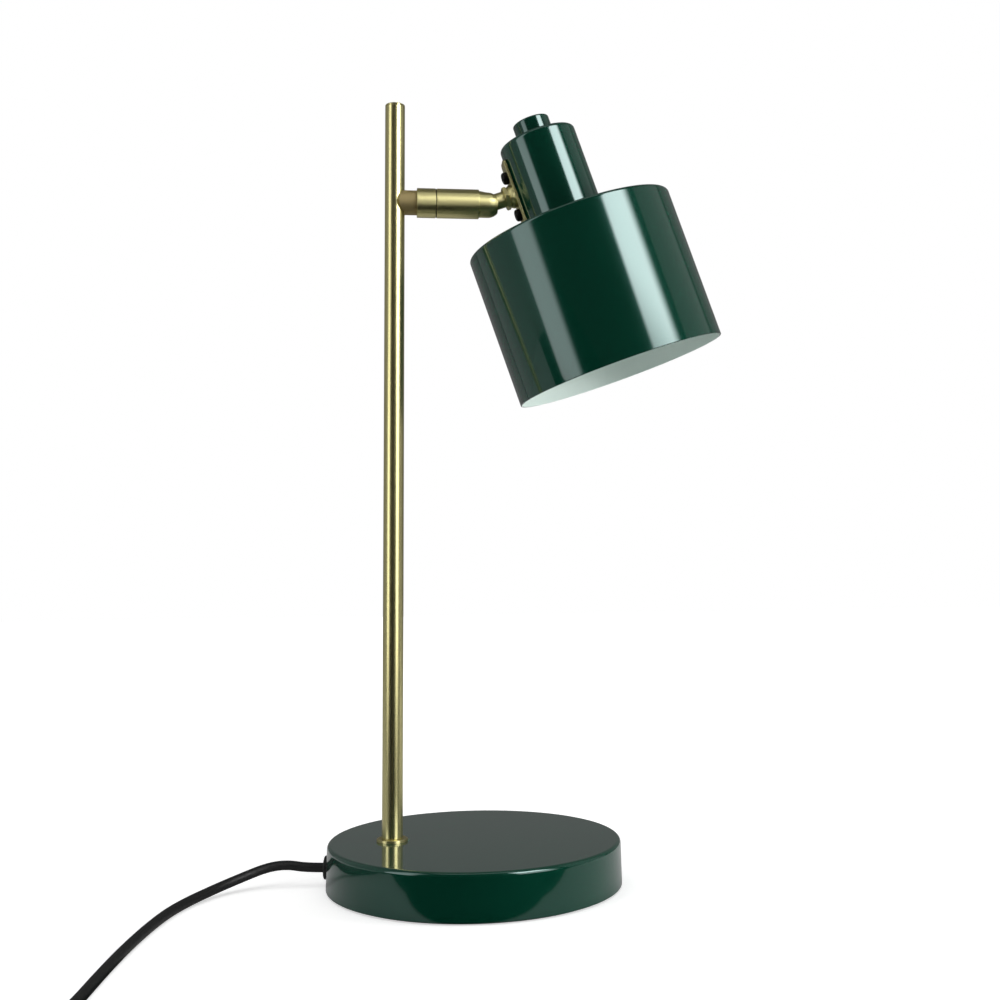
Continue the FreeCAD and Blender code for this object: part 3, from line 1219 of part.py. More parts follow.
# Lead
def cord_tie():
    """Flat strap round the coil's turns, with rounded corners."""
    inner = COIL_RADIUS - COIL_PITCH * (COIL_TURNS + 1 / 8) - CORD_RADIUS - TIE_INNER_GAP
    outer = COIL_RADIUS - COIL_PITCH * (TIE_TURN - COIL_START_TURN) / 360 + CORD_RADIUS + TIE_GAP
    low = TIE_THICKNESS
    high = COIL_HIGH_LEVEL + CORD_RADIUS + TIE_GAP
    half = TIE_WIDTH / 2
    outside = block(Vector(inner - TIE_THICKNESS, -half, 0),
                    Vector(outer + TIE_THICKNESS, half, high + TIE_THICKNESS))
    outside = outside.makeFillet(CORD_RADIUS, edges_along(outside, ALONG_Y))
    inside = block(Vector(inner, -half - OVERRUN, low), Vector(outer, half + OVERRUN, high))
    inside = inside.makeFillet(CORD_RADIUS - TIE_THICKNESS, edges_along(inside, ALONG_Y))
    return placed(outside.cut(inside), Placement(COIL_CENTRE, Rotation(ALONG_Z, TIE_TURN)))


def build_lead():
    total = SWITCH_LENGTH
    for name, route in (("cord_lead", LEAD_ROUTE), ("cord_link", LINK_ROUTE), ("cord_tail", TAIL_ROUTE)):
        solid, length = cord_along(name, route)
        save(name, solid)
        total += length
    wire = coil_wire()
    coil = swept(wire, CORD_RADIUS)
    save("cord_coil", coil)
    save("cord_tie", cord_tie())
    expected = math.pi * CORD_RADIUS ** 2 * wire.Length
    print("cord_coil length", round(wire.Length, 1), "volume ratio", round(coil.Volume / expected, 4),
          "least gap to itself", round(least_gap(wire, CORD_DIAMETER), 2))
    print("whole lead", round(total + wire.Length, 1))


os.makedirs("parts", exist_ok=True)
build_foot()
build_pole()
build_arm()
build_stem()
build_head()
build_gland()
build_switch()
build_plug()
build_lead()
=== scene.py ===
import json
import math

import bmesh
import bpy
from bpy.props import FloatProperty, FloatVectorProperty, IntProperty, PointerProperty
from mathutils import Matrix, Vector


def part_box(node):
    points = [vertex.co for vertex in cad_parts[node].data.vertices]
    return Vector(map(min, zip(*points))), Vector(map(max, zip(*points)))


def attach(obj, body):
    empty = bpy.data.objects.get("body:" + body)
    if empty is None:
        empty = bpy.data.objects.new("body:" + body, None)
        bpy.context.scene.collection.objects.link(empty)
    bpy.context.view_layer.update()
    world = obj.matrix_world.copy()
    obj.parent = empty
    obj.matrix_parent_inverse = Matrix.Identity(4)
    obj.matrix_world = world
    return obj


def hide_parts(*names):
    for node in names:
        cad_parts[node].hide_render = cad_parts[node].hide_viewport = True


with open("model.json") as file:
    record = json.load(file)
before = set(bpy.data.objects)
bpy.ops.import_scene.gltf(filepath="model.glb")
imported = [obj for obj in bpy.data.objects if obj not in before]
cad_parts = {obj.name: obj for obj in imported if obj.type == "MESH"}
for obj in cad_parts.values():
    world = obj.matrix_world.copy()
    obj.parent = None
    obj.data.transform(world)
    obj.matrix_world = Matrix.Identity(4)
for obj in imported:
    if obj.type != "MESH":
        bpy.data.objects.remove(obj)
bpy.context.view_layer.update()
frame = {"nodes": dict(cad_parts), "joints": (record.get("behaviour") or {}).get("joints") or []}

bl_info = {
    "name": "Desk lamp",
    "version": (1, 0, 0),
    "blender": (4, 5, 0),
    "location": "View3D > Sidebar > Desk lamp",
    "description": "Dresses the desk lamp's frame with turned brass, lacquered steel and its lead",
    "category": "Object",
}

MM = 0.001
GAP = 0.05 * MM  # between pieces that touch
SHADE_HOLE = 14.05 * MM  # radius of the hole in the shade's top
NODES = frame["nodes"]
JOINTS = {joint["name"]: joint for joint in frame["joints"]}
BALL = Vector(JOINTS["head_tilt"]["pos_m"])
STEM_DIRECTION = Vector(JOINTS["head_roll"]["axis"]).normalized()
STEM_TILT = math.atan2(STEM_DIRECTION.z, STEM_DIRECTION.x)
UPRIGHT_X = sum(corner.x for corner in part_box("pole_tube")) / 2
UPRIGHT_FRAME = Matrix.Translation((UPRIGHT_X, 0, 0))
ARM_FRAME = Matrix.Translation((UPRIGHT_X, 0, BALL.z)) @ Matrix.Rotation(math.pi / 2, 4, "Y")
STEM_FRAME = Matrix.Translation(BALL) @ Matrix.Rotation(math.pi / 2 - STEM_TILT, 4, "Y")
HEAD_TURN = Matrix.Rotation(-STEM_TILT, 4, "Y")
GLAND_TURN = math.radians(172.6)
# The lead's route is in millimetres.
GLAND_MOUTH = 87.15
LEAD_START = Vector((math.cos(GLAND_TURN), math.sin(GLAND_TURN), 0)) * GLAND_MOUTH
COIL_CENTRE = LEAD_START + Vector((-31.6, -320.7, 0))
COIL_LOW, COIL_HIGH = 3.7, 9.7
SWITCH_CENTRE = LEAD_START + Vector((-93.6, -280.2, 0))
PLUG_TAIL = LEAD_START + Vector((50.4, -350.2, 6.85))


# Sizes and colours that can be changed in the sidebar
def length(label, description, millimetres):
    """A length property whose default is given in millimetres."""
    return FloatProperty(name=label, description=description, default=millimetres * MM, min=0,
                         unit="LENGTH", precision=5)


def linear(code):
    """Linear RGBA from an sRGB hex value such as 2F4F4F."""
    levels = [int(code[k:k + 2], 16) / 255 for k in (0, 2, 4)]
    return [c / 12.92 if c <= 0.04045 else ((c + 0.055) / 1.055) ** 2.4 for c in levels] + [1.0]


def colour(label, description, code):
    """A colour property whose default is an sRGB hex value."""
    return FloatVectorProperty(name=label, description=description, default=linear(code)[:3],
                               size=3, subtype="COLOR", min=0, max=1)


class LampFootSizes(bpy.types.PropertyGroup):
    radius: length("Radius", "Radius of the foot at its lower edge", 85.0)
    top_radius: length("Top radius", "Radius of the foot at its upper edge", 84.5)
    height: length("Height", "Height of the foot's top above the table", 26.0)
    lift: length("Lift", "Height of the shell's lower edge above the table", 1.0)
    edge_round: length("Edge round", "Rounding of the upper edge", 2.2)
    wall: length("Wall", "Thickness of the spun shell", 1.2)
    pad_radius: length("Pad radius", "Radius of the rubber pad", 82.4)
    pad_height: length("Pad height", "Thickness of the rubber pad", 2.0)
    ring_radius: length("Ring radius", "Radius of the brass ring round the upright", 9.0)
    ring_height: length("Ring height", "Height of the brass ring", 1.6)


class LampUprightSizes(bpy.types.PropertyGroup):
    radius: length("Radius", "Radius of the upright tube", 6.0)
    wall: length("Wall", "Wall of the upright tube", 1.0)
    top: length("Top", "Height of the upright's cap above the table", 465.0)
    cap: length("Cap", "Thickness of the cap's disc", 1.4)
    cap_round: length("Cap round", "Rounding of the cap's edge", 0.7)


class LampArmSizes(bpy.types.PropertyGroup):
    radius: length("Radius", "Radius of the collar and the sleeve", 9.0)
    edge: length("Edge", "Rounding of the collar's and the sleeve's edges", 0.4)
    collar_start: length("Collar start", "From the upright's axis to the collar", 13.4)
    collar_end: length("Collar end", "From the upright's axis to the collar's far face", 24.9)
    sleeve_start: length("Sleeve start", "From the upright's axis to the sleeve", 25.4)
    # The black disc between the collar and the sleeve is painted shade: it stands for the shadow in the gap
    # between them.
    shim_radius: length("Shim radius", "Radius of the black shim between the collar and the sleeve", 8.6)
    sleeve_end: length("Sleeve end", "From the upright's axis to the sleeve's far face", 51.2)
    bore: length("Bore", "Radius of the holes through the collar and the sleeve", 4.1)


class LampStemSizes(bpy.types.PropertyGroup):
    radius: length("Radius", "Radius of the ball stem", 5.0)
    nut_flats: length("Locknut flats", "Width of the locknut across its flats", 13.0)
    nut_start: length("Locknut start", "From the ball's centre to the locknut", 11.05)
    nut_thickness: length("Locknut thickness", "Thickness of the locknut", 2.4)
    ferrule_start: length("Ferrule start", "From the ball's centre to the ferrule's tip", 13.65)
    ferrule_end: length("Ferrule end", "From the ball's centre to the plate", 17.15)
    ferrule_tip: length("Ferrule tip", "Radius of the ferrule's tip", 6.2)
    ferrule_radius: length("Ferrule radius", "Radius of the ferrule at the plate", 7.25)


class LampHeadSizes(bpy.types.PropertyGroup):
    offset: length("Offset", "From the ball's centre to the head's axis", 43.0)
    drop: length("Drop", "From the shade's top up to the stem's level", 28.9)
    neck_radius: length("Neck radius", "Radius of the neck cup", 24.3)
    neck_length: length("Neck length", "Length of the neck cup", 59.5)
    neck_round: length("Neck round", "Rounding of the neck's upper edge", 2.5)
    neck_wall: length("Neck wall", "Wall of the neck cup", 1.2)
    finial_radius: length("Finial radius", "Radius of the cap on the neck", 11.6)
    finial_height: length("Finial height", "Height of the cap on the neck", 11.5)
    finial_round: length("Finial round", "Rounding of the cap's upper edge", 1.2)
    shade_radius: length("Shade radius", "Outer radius of the shade", 65.0)
    shade_length: length("Shade length", "Length of the shade", 95.0)
    shade_wall: length("Shade wall", "Wall of the shade", 1.0)
    shade_round: length("Shade round", "Rounding of the shade's upper edge", 2.0)
    plate_length: length("Plate length", "Length of the brass plate on the neck", 45.0)
    plate_width: length("Plate width", "Width of the brass plate on the neck", 14.0)
    plate_thickness: length("Plate thickness", "Thickness of the brass plate", 1.5)
    screw_spacing: length("Screw spacing", "Distance between the plate's screws", 24.4)
    plate_corner: length("Plate corner", "Rounding of the plate's corners", 2.9)
    screw_radius: length("Screw radius", "Radius of the screws' heads", 3.8)
    screw_height: length("Screw height", "Height of the screws' heads", 3.4)


class LampSocketSizes(bpy.types.PropertyGroup):
    thread_radius: length("Thread radius", "Radius of the socket's outer thread", 14.0)
    thread_pitch: length("Thread pitch", "Pitch of the socket's outer thread", 2.8)
    drop: length("Drop", "Length of the socket inside the shade", 14.0)
    bore: length("Bore", "Radius of the bulb's screw shell", 7.0)
    ring_radius: length("Ring radius", "Radius of the ribbed ring under the shade's top", 19.0)
    ring_height: length("Ring height", "Height of the ribbed ring", 4.0)
    ribs: IntProperty(name="Ribs", description="Ribs round the ring", default=28, min=6)


class LampLeadSizes(bpy.types.PropertyGroup):
    diameter: length("Diameter", "Diameter of the lead", 5.4)
    coil_radius: length("Coil radius", "Radius of the outermost turn of the put-away coil", 40.5)
    coil_pitch: length("Coil pitch", "Distance between two turns", 6.0)
    coil_turns: FloatProperty(name="Coil turns", description="Turns in each of the coil's two layers",
                              default=3.25, min=1)
    points_per_turn: IntProperty(name="Points per turn", description="Curve points in one turn",
                                 default=16, min=12)
    gland_radius: length("Gland radius", "Radius of the gland's flange", 6.6)
    gland_height: length("Gland height", "Height of the gland above the table", 10.0)
    strap_width: length("Strap width", "Width of the strap round the coil", 8.0)
    strap_thickness: length("Strap thickness", "Thickness of the strap", 0.7)
    strap_overlap: length("Strap overlap", "Length of the strap that lies on itself", 14.0)


class LampSwitchSizes(bpy.types.PropertyGroup):
    length: length("Length", "Length of the switch on the lead", 62.0)
    width: length("Width", "Width of the switch", 24.0)
    height: length("Height", "Height of the switch", 16.0)
    split: length("Split", "Height of the seam", 7.5)
    end_width: length("End width", "Width of the switch's ends", 11.0)
    shoulder: length("Shoulder", "Length of the tapered ends", 14.0)
    rocker_length: length("Rocker length", "Length of the rocker", 17.0)
    rocker_width: length("Rocker width", "Width of the rocker", 9.0)


class LampPlugSizes(bpy.types.PropertyGroup):
    length: length("Length", "Length of the plug's body", 36.0)
    width: length("Width", "Width of the plug's body", 35.0)
    thickness: length("Thickness", "Thickness of the plug's body", 13.7)
    relief: length("Strain relief", "Length of the tapered strain relief", 22.0)
    pin_radius: length("Pin radius", "Radius of the pins' bare ends", 2.0)
    pin_length: length("Pin length", "Length of the pins", 19.0)
    pin_spacing: length("Pin spacing", "Distance between the pins", 19.0)
    pin_sleeve: length("Pin sleeve", "Length of the pins' insulating sleeves", 10.0)
    sleeve_radius: length("Sleeve radius", "Radius of the pins' sleeves", 1.6)


class LampColours(bpy.types.PropertyGroup):
    green: colour("Green lacquer", "Lacquer of the foot, the neck and the shade", "033A2A")
    white: colour("White lacquer", "Lacquer inside the shade", "D6E4DE")
    brass: colour("Brass", "Turned and satin brass", "DDD59A")
    black: colour("Black plastic", "Gland, switch, plug and lead", "0E0F10")


class LampStageSettings(bpy.types.PropertyGroup):
    lens: FloatProperty(name="Lens", description="Focal length on a 36 mm frame", default=45.22)
    shift_x: FloatProperty(name="Shift across", description="Camera shift across", default=-0.0493)
    shift_y: FloatProperty(name="Shift up", description="Camera shift upwards", default=-0.0768)
    camera_place: FloatVectorProperty(name="Camera", description="Place of the camera", size=3,
                                      default=(-0.0445163, -0.7517216, 0.1824744),
                                      subtype="TRANSLATION", precision=5)
    camera_yaw: FloatProperty(name="Yaw", description="Turn of the camera to the right",
                              default=0.1199, subtype="ANGLE")
    camera_pitch: FloatProperty(name="Pitch", description="Tilt of the camera upwards",
                                default=0.1130, subtype="ANGLE")
    camera_roll: FloatProperty(name="Roll", description="Roll of the camera", default=-0.0102,
                               subtype="ANGLE")
    table_edge: FloatProperty(name="Table edge", description="Front edge of the table in reflections",
                              default=-0.081, unit="LENGTH")
    table_reach: FloatProperty(name="Table reach", description="How far that edge runs forward to the sides",
                               default=0.033, unit="LENGTH")


# Mesh builders
def corner_arc(here, before, after, amount, segments):
    """Points of the arc that rounds a corner, and how far from the corner it starts and ends.

    before and after lead from the corner to its neighbours.
    """
    come, leave = before.normalized(), after.normalized()
    half = come.angle(leave) / 2
    reach = amount / math.tan(half)
    centre = here + (come + leave).normalized() * (amount / math.sin(half))
    start, finish = here + come * reach, here + leave * reach
    turn = (start - centre).angle_signed(finish - centre)
    points = []
    for step in range(segments + 1):
        arm = start - centre
        arm.rotate(Matrix.Rotation(-turn * step / segments, 2))
        points.append(centre + arm)
    return points, reach


def past_arc(here, side, reach, amount):
    """A point just past an arc's end, on the straight side beyond it."""
    along = side.normalized()
    spare = max(side.length - reach, 0)
    return here + along * reach + along * min(0.25 * amount, spare * 0.3)


def rounded(corners, closed, segments=7):
    """Outline points (radius, height, material) from corners (radius, height, rounding, material).

    Each rounding becomes an arc, with a point just past either end that keeps flat faces flat.
    """
    count = len(corners)
    points = []
    for k, (r, z, amount, material) in enumerate(corners):
        here = Vector((r, z))
        at_end = k in (0, count - 1) and not closed
        if at_end or amount <= 0:
            points.append((r, z, material))
            continue
        before = Vector(corners[k - 1][:2]) - here
        after = Vector(corners[(k + 1) % count][:2]) - here
        arc, reach = corner_arc(here, before, after, amount, segments)
        points.append((*past_arc(here, before, reach, amount), corners[k - 1][3]))
        points += [(*point, material) for point in (*arc, past_arc(here, after, reach, amount))]
    return points


def steps_between(r, start, end, count):
    """Plain outline points along a straight line of this radius."""
    return [(r, start + (end - start) * k / count, 0) for k in range(count + 1)]


def object_from(name, bm, materials, place=None, sharp=35.0):
    """Turns a bmesh into a smooth-shaded object with sharp creases."""
    bmesh.ops.remove_doubles(bm, verts=bm.verts, dist=0.001 * MM)
    bmesh.ops.recalc_face_normals(bm, faces=bm.faces)
    mesh = bpy.data.meshes.new(name)
    bm.to_mesh(mesh)
    bm.free()
    for material in materials:
        mesh.materials.append(material)
    mesh.shade_smooth()
    mesh.set_sharp_from_angle(angle=math.radians(sharp))
    piece = bpy.data.objects.new(name, mesh)
    bpy.context.scene.collection.objects.link(piece)
    if place is not None:
        piece.matrix_world = place
    return piece


def turned(name, outline, materials, place=None, closed=True, steps=96, shape=None):
    """A solid of revolution about local Z. An open outline starts and ends on the axis.

    shape(radius, height, angle) can give each point another radius, for ribs and threads.
    """
    bm = bmesh.new()
    rings = []
    for r, z, material in outline:
        if r < 1e-7:
            rings.append([bm.verts.new((0, 0, z))])
            continue
        ring = []
        for k in range(steps):
            angle = 2 * math.pi * k / steps
            radius = shape(r, z, angle) if shape else r
            ring.append(bm.verts.new((radius * math.cos(angle), radius * math.sin(angle), z)))
        rings.append(ring)
    for k in list(range(len(rings) - 1)) + ([-1] if closed else []):
        low, high = rings[k], rings[(k + 1) % len(rings)]
        for j in range(steps):
            n = (j + 1) % steps
            if len(low) == 1:
                corners = (low[0], high[j], high[n])
            elif len(high) == 1:
                corners = (low[j], high[0], low[n])
            else:
                corners = (low[j], high[j], high[n], low[n])
            bm.faces.new(corners).material_index = outline[k][2]
    return object_from(name, bm, materials, place)


def lofted(name, rings, materials, place, capped=True, sharp=35.0):
    """Joins rings of equally many points by faces, and can close the first and the last."""
    bm = bmesh.new()
    made = [[bm.verts.new(point) for point in ring] for ring in rings]
    for low, high in zip(made, made[1:]):
        for j in range(len(low)):
            n = (j + 1) % len(low)
            bm.faces.new((low[j], high[j], high[n], low[n]))
    if capped:
        bm.faces.new(made[0])
        bm.faces.new(made[-1])
    return object_from(name, bm, materials, place, sharp)


def hexagon_nut(name, flats, bore, start, end, chamfer, materials, place):
    """A hexagon nut along local Z with chamfered corners and a lead-in at its bore."""
    limit = flats / math.sqrt(3) - chamfer
    lead_in = 0.35 * MM
    rows = [[] for _ in range(9)]
    for k in range(72):
        angle = 2 * math.pi * k / 72
        turn = (angle + math.pi / 6) % (math.pi / 3) - math.pi / 6
        across = flats / 2 / math.cos(turn)
        over = max(0.02 * MM, across - limit)
        inner = min(across - 0.02 * MM, limit)
        spots = [
            (bore, start + lead_in), (bore + lead_in, start), (inner, start),
            (across, start + over), (across, end - over), (inner, end), (bore + lead_in, end),
            (bore, end - lead_in), (bore, start + lead_in)]
        for row, (r, z) in zip(rows, spots):
            row.append((r * math.cos(angle), r * math.sin(angle), z))
    return lofted(name, rows, materials, place, False, 20.0)


def cut_corners(points, amount, segments):
    """The outline with each corner replaced by an arc."""
    count = len(points)
    smooth = []
    for k in range(count):
        here = Vector(points[k])
        before, after = Vector(points[k - 1]) - here, Vector(points[(k + 1) % count]) - here
        arc, _ = corner_arc(here, before, after, amount, segments)
        smooth += [tuple(point) for point in arc]
    return smooth


def inset(points, amount):
    """A counter-clockwise outline moved inwards by an amount."""
    moved = []
    count = len(points)
    for k in range(count):
        along = (Vector(points[(k + 1) % count]) - Vector(points[k - 1])).normalized()
        moved.append((points[k][0] - along.y * amount, points[k][1] + along.x * amount))
    return moved


def reach_of(points, angle):
    """Distance from the centre to an outline round it, in this direction."""
    heading = Vector((math.cos(angle), math.sin(angle)))
    count = len(points)
    for k in range(count):
        start, side = Vector(points[k]), Vector(points[(k + 1) % count]) - Vector(points[k])
        spread = heading.x * side.y - heading.y * side.x
        if abs(spread) < 1e-12:
            continue
        reach = (start.x * side.y - start.y * side.x) / spread
        share = (start.x * heading.y - start.y * heading.x) / spread
        if reach > 0 and -1e-9 <= share <= 1 + 1e-9:
            return reach
    raise RuntimeError("the outline doesn't go round the centre")


def at_height(points, z):
    return [(x, y, z) for x, y in points]


def domed_edge(outline, amount, low, high, segments):
    """Rings of an outline that rounds in at both ends, from low to high."""
    rings = []
    for step in range(segments + 1):
        turn = math.pi / 2 * step / segments
        rings.append(at_height(inset(outline, amount * (1 - math.sin(turn)) * 0.98),
                               low + amount * (1 - math.cos(turn))))
    for step in range(segments + 1):
        turn = math.pi / 2 * step / segments
        rings.append(at_height(inset(outline, amount * (1 - math.cos(turn)) * 0.98),
                               high - amount * (1 - math.sin(turn))))
    return rings


# Materials
def add_node(tree, kind, inputs=None, **settings):
    """Adds a node with its settings, and sets or links its inputs."""
    node = tree.nodes.new(kind)
    for name, value in settings.items():
        setattr(node, name, value)
    for name, value in (inputs or {}).items():
        if isinstance(value, bpy.types.NodeSocket):
            tree.links.new(value, node.inputs[name])
        else:
            node.inputs[name].default_value = value
    return node


def per_mm(size):
    """Noise scale for features of this size in millimetres."""
    return 1 / (size * MM)


def surface(name, tones, patch, grain, depth, roughness, shader, stretch=(1, 1, 1), detail=2.0,
            grooves_round=None):
    """A material with drifting tone, uneven gloss and a fine relief.

    tones are two linear colours that meet in patches of a size in millimetres. grain is the size
    of the relief in millimetres and depth its height. roughness is a pair. A small number in
    stretch lengthens the grain along that axis of the piece. grooves_round names the axis that
    tool marks run round, which spread the reflections along it.
    """
    material = bpy.data.materials.new(name)
    material.use_nodes = True
    tree = material.node_tree
    principled = tree.nodes["Principled BSDF"]
    where = add_node(tree, "ShaderNodeTexCoord").outputs["Object"]
    drift = add_node(tree, "ShaderNodeTexNoise", {"Vector": where, "Scale": per_mm(patch), "Detail": 3.0})
    tone = add_node(tree, "ShaderNodeMix", data_type="RGBA")
    tree.links.new(drift.outputs["Fac"], tone.inputs[0])
    tone.inputs[6].default_value = tones[0]
    tone.inputs[7].default_value = tones[1]
    tree.links.new(tone.outputs[2], principled.inputs["Base Color"])
    pulled = add_node(tree, "ShaderNodeMapping", {"Vector": where, "Scale": stretch})
    relief = add_node(tree, "ShaderNodeTexNoise", {
        "Vector": pulled.outputs["Vector"], "Scale": per_mm(grain), "Detail": detail})
    gloss = add_node(tree, "ShaderNodeMapRange", {
        "Value": relief.outputs["Fac"], "From Min": 0.25, "From Max": 0.75,
        "To Min": roughness[0], "To Max": roughness[1]})
    tree.links.new(gloss.outputs["Result"], principled.inputs["Roughness"])
    bump = add_node(tree, "ShaderNodeBump", {
        "Height": relief.outputs["Fac"], "Strength": 1.0, "Distance": depth * MM})
    tree.links.new(bump.outputs["Normal"], principled.inputs["Normal"])
    if grooves_round:
        tangent = add_node(tree, "ShaderNodeTangent", direction_type="RADIAL", axis=grooves_round)
        tree.links.new(tangent.outputs["Tangent"], principled.inputs["Tangent"])
        principled.inputs["Anisotropic"].default_value = 0.85
        principled.inputs["Anisotropic Rotation"].default_value = 0.25
    for socket, value in shader.items():
        principled.inputs[socket].default_value = value
    return material


def shades(rgb, *factors):
    """The colour made lighter or darker by each factor, as linear RGBA."""
    return [[min(1.0, c * factor) for c in rgb] + [1.0] for factor in factors]


def blank_material(name):
    """A new material without nodes."""
    material = bpy.data.materials.new(name)
    material.use_nodes = True
    material.node_tree.nodes.clear()
    return material


def make_materials(colours):
    """All of the lamp's finishes."""
    green, white, brass, black = colours.green, colours.white, colours.brass, colours.black
    # Deep-drawn steel in sprayed and stoved gloss lacquer: a deep even green under a clear, almost
    # mirror-like skin, with the slight waviness of sprayed paint. Light that comes back from the
    # pigmented layer below the skin has its green.
    surface("steel_lacquered_green", shades(green, 0.92, 1.08), 24.0, 1.8, 0.0009,
            (0.13, 0.17), {"IOR": 1.5, "Specular Tint": (0.55, 1.0, 0.97, 1.0), "Coat Weight": 1.0,
                           "Coat Roughness": 0.03, "Coat IOR": 1.5})
    # The same steel sprayed white inside the shade: bright, with a softer gloss that spreads light.
    surface("steel_lacquered_white", shades(white, 0.95, 1.0), 18.0, 1.8, 0.001,
            (0.32, 0.4), {"IOR": 1.5, "Coat Weight": 0.3, "Coat Roughness": 0.15})
    # Drawn brass tube, brushed along its length and lacquered: long fine lines that stretch the
    # highlights down the tube.
    surface("brass_tube_brushed", shades(brass, 0.93, 1.03), 30.0, 0.3, 0.00015,
            (0.25, 0.31), {"Metallic": 1.0, "Coat Weight": 0.15, "Coat Roughness": 0.1},
            stretch=(1, 1, 0.003))
    # Bar brass turned on a lathe and lacquered: tool rings 0.35 mm apart round the axis, a little
    # coarser than real ones so that they show.
    surface("brass_bar_turned", shades(brass, 0.92, 1.02), 14.0, 0.35, 0.00035,
            (0.4, 0.48), {"Metallic": 1.0, "Coat Weight": 0.1, "Coat Roughness": 0.1},
            stretch=(0.02, 0.02, 1), grooves_round="Z")
    # The same bar brass for pieces that lie along the lamp's X axis.
    surface("brass_bar_turned_lengthwise", shades(brass, 0.92, 1.02), 14.0, 0.35, 0.00035,
            (0.4, 0.48), {"Metallic": 1.0, "Coat Weight": 0.1, "Coat Roughness": 0.1},
            stretch=(1, 0.02, 0.02), grooves_round="X")
    # Bar brass browned in a bath: an even tan with hardly a highlight.
    surface("brass_bar_browned", (linear("A9986A"), linear("B8A87B")), 5.0, 0.4, 0.0006,
            (0.55, 0.65), {"Metallic": 1.0})
    # Brass sheet as pressed, left bare: brighter, with uneven gloss and no direction.
    surface("brass_pressed_bare", shades(brass, 0.95, 1.1), 6.0, 0.8, 0.0005,
            (0.26, 0.36), {"Metallic": 1.0})
    # Grey iron cast in sand: dark, dull and pitted.
    surface("iron_sand_cast", (linear("2A2A2B"), linear("3A3938")), 9.0, 0.9, 0.05,
            (0.55, 0.75), {"Metallic": 0.7}, detail=6.0)
    # Steel turned or pressed, then zinc plated: cool grey with a faint straw drift.
    surface("steel_zinc_plated", (linear("A9ADAF"), linear("B7B5A8")), 5.0, 0.4, 0.002,
            (0.28, 0.42), {"Metallic": 1.0})
    # Steel screws, heat treated and blacked in oil: nearly black with a dull metal glint.
    surface("steel_black_oxide", (linear("1B1B1D"), linear("2B2A29")), 3.0, 0.3, 0.0015,
            (0.28, 0.4), {"Metallic": 0.9})
    # Rubber sheet, die cut: dead black and matt, with a fine moulded pebble.
    surface("rubber_sheet_cut", (linear("101010"), linear("1A1A1A")), 12.0, 0.7, 0.02,
            (0.75, 0.9), {"IOR": 1.5, "Specular IOR Level": 0.35}, detail=4.0)
    # Polycarbonate injection moulded in a spark-eroded tool: black satin with a grit of 0.3 mm.
    surface("polycarbonate_moulded_black", shades(black, 0.85, 1.15), 20.0, 0.3, 0.004,
            (0.38, 0.5), {"IOR": 1.58})
    # Nylon injection moulded in natural grey: waxy and slightly see-through at thin edges.
    surface("nylon_moulded_grey", (linear("8C8C87"), linear("9A9A94")), 10.0, 0.6, 0.003,
            (0.4, 0.5), {"IOR": 1.53, "Subsurface Weight": 0.1, "Subsurface Scale": 0.001})
    # Silicone sleeve drawn over the wires: brown with a rubbery sheen.
    surface("silicone_sleeve_extruded", (linear("4A3226"), linear("5A3E30")), 6.0, 0.5, 0.002,
            (0.45, 0.55), {"IOR": 1.41})
    # Soft PVC lead, extruded: deep black with a low sheen and a slight ripple along its length.
    surface("pvc_lead_extruded", shades(black, 0.5, 0.8), 26.0, 1.4, 0.006,
            (0.48, 0.58), {"IOR": 1.53})
    # Nylon hook tape, woven: black and dull, with ribs across it.
    surface("nylon_tape_woven", (linear("15151A"), linear("24242A")), 3.0, 0.45, 0.06,
            (0.6, 0.8), {"IOR": 1.53, "Sheen Weight": 0.3, "Sheen Roughness": 0.5},
            stretch=(1, 0.12, 1))
    # Brass pins turned and nickel plated: bright and slightly warm.
    surface("brass_nickel_plated", (linear("BDB6A8"), linear("C9C3B6")), 4.0, 0.3, 0.0008,
            (0.14, 0.22), {"Metallic": 1.0})


def finishes(*names):
    """Some of the lamp's finishes, made when the first piece asks."""
    if names[0] not in bpy.data.materials:
        make_materials(bpy.context.scene.lamp_colours)
    return [bpy.data.materials[name] for name in names]


def dress(piece, body, slot, *nodes):
    """Puts a piece on its body and lets it stand for the frame's nodes."""
    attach(piece, body)
    if nodes:
        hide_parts(*nodes)


# Stage
def studio_world():
    """Pale surround: white to the camera, and to glossy surfaces a dark front and a grey back."""
    world = bpy.data.worlds.new("studio_world")
    bpy.context.scene.world = world
    world.use_nodes = True
    tree = world.node_tree
    tree.nodes.clear()
    ray = add_node(tree, "ShaderNodeLightPath")
    direction = add_node(tree, "ShaderNodeTexCoord").outputs["Generated"]
    parts = add_node(tree, "ShaderNodeSeparateXYZ", {"Vector": direction})
    # Towards +Y lies the wall behind the lamp, towards -Y the dark room in front of it.
    wall = add_node(tree, "ShaderNodeMapRange", {
        "Value": parts.outputs["Y"], "From Min": -0.4, "From Max": 0.3, "To Min": 0.02, "To Max": 0.14},
        interpolation_type="SMOOTHSTEP")
    mirrored = add_node(tree, "ShaderNodeBackground", {"Color": wall.outputs["Result"], "Strength": 1.0})
    ambient = add_node(tree, "ShaderNodeBackground", {"Color": (1, 1, 1, 1), "Strength": 0.27})
    seen = add_node(tree, "ShaderNodeBackground", {"Color": (1, 1, 1, 1), "Strength": 1.0})
    shiny = add_node(tree, "ShaderNodeMath", {
        0: ray.outputs["Is Glossy Ray"], 1: ray.outputs["Is Transmission Ray"]}, operation="MAXIMUM")
    first = add_node(tree, "ShaderNodeMixShader", {
        0: shiny.outputs[0], 1: ambient.outputs[0], 2: mirrored.outputs[0]})
    last = add_node(tree, "ShaderNodeMixShader", {
        0: ray.outputs["Is Camera Ray"], 1: first.outputs[0], 2: seen.outputs[0]})
    add_node(tree, "ShaderNodeOutputWorld", {"Surface": last.outputs[0]})


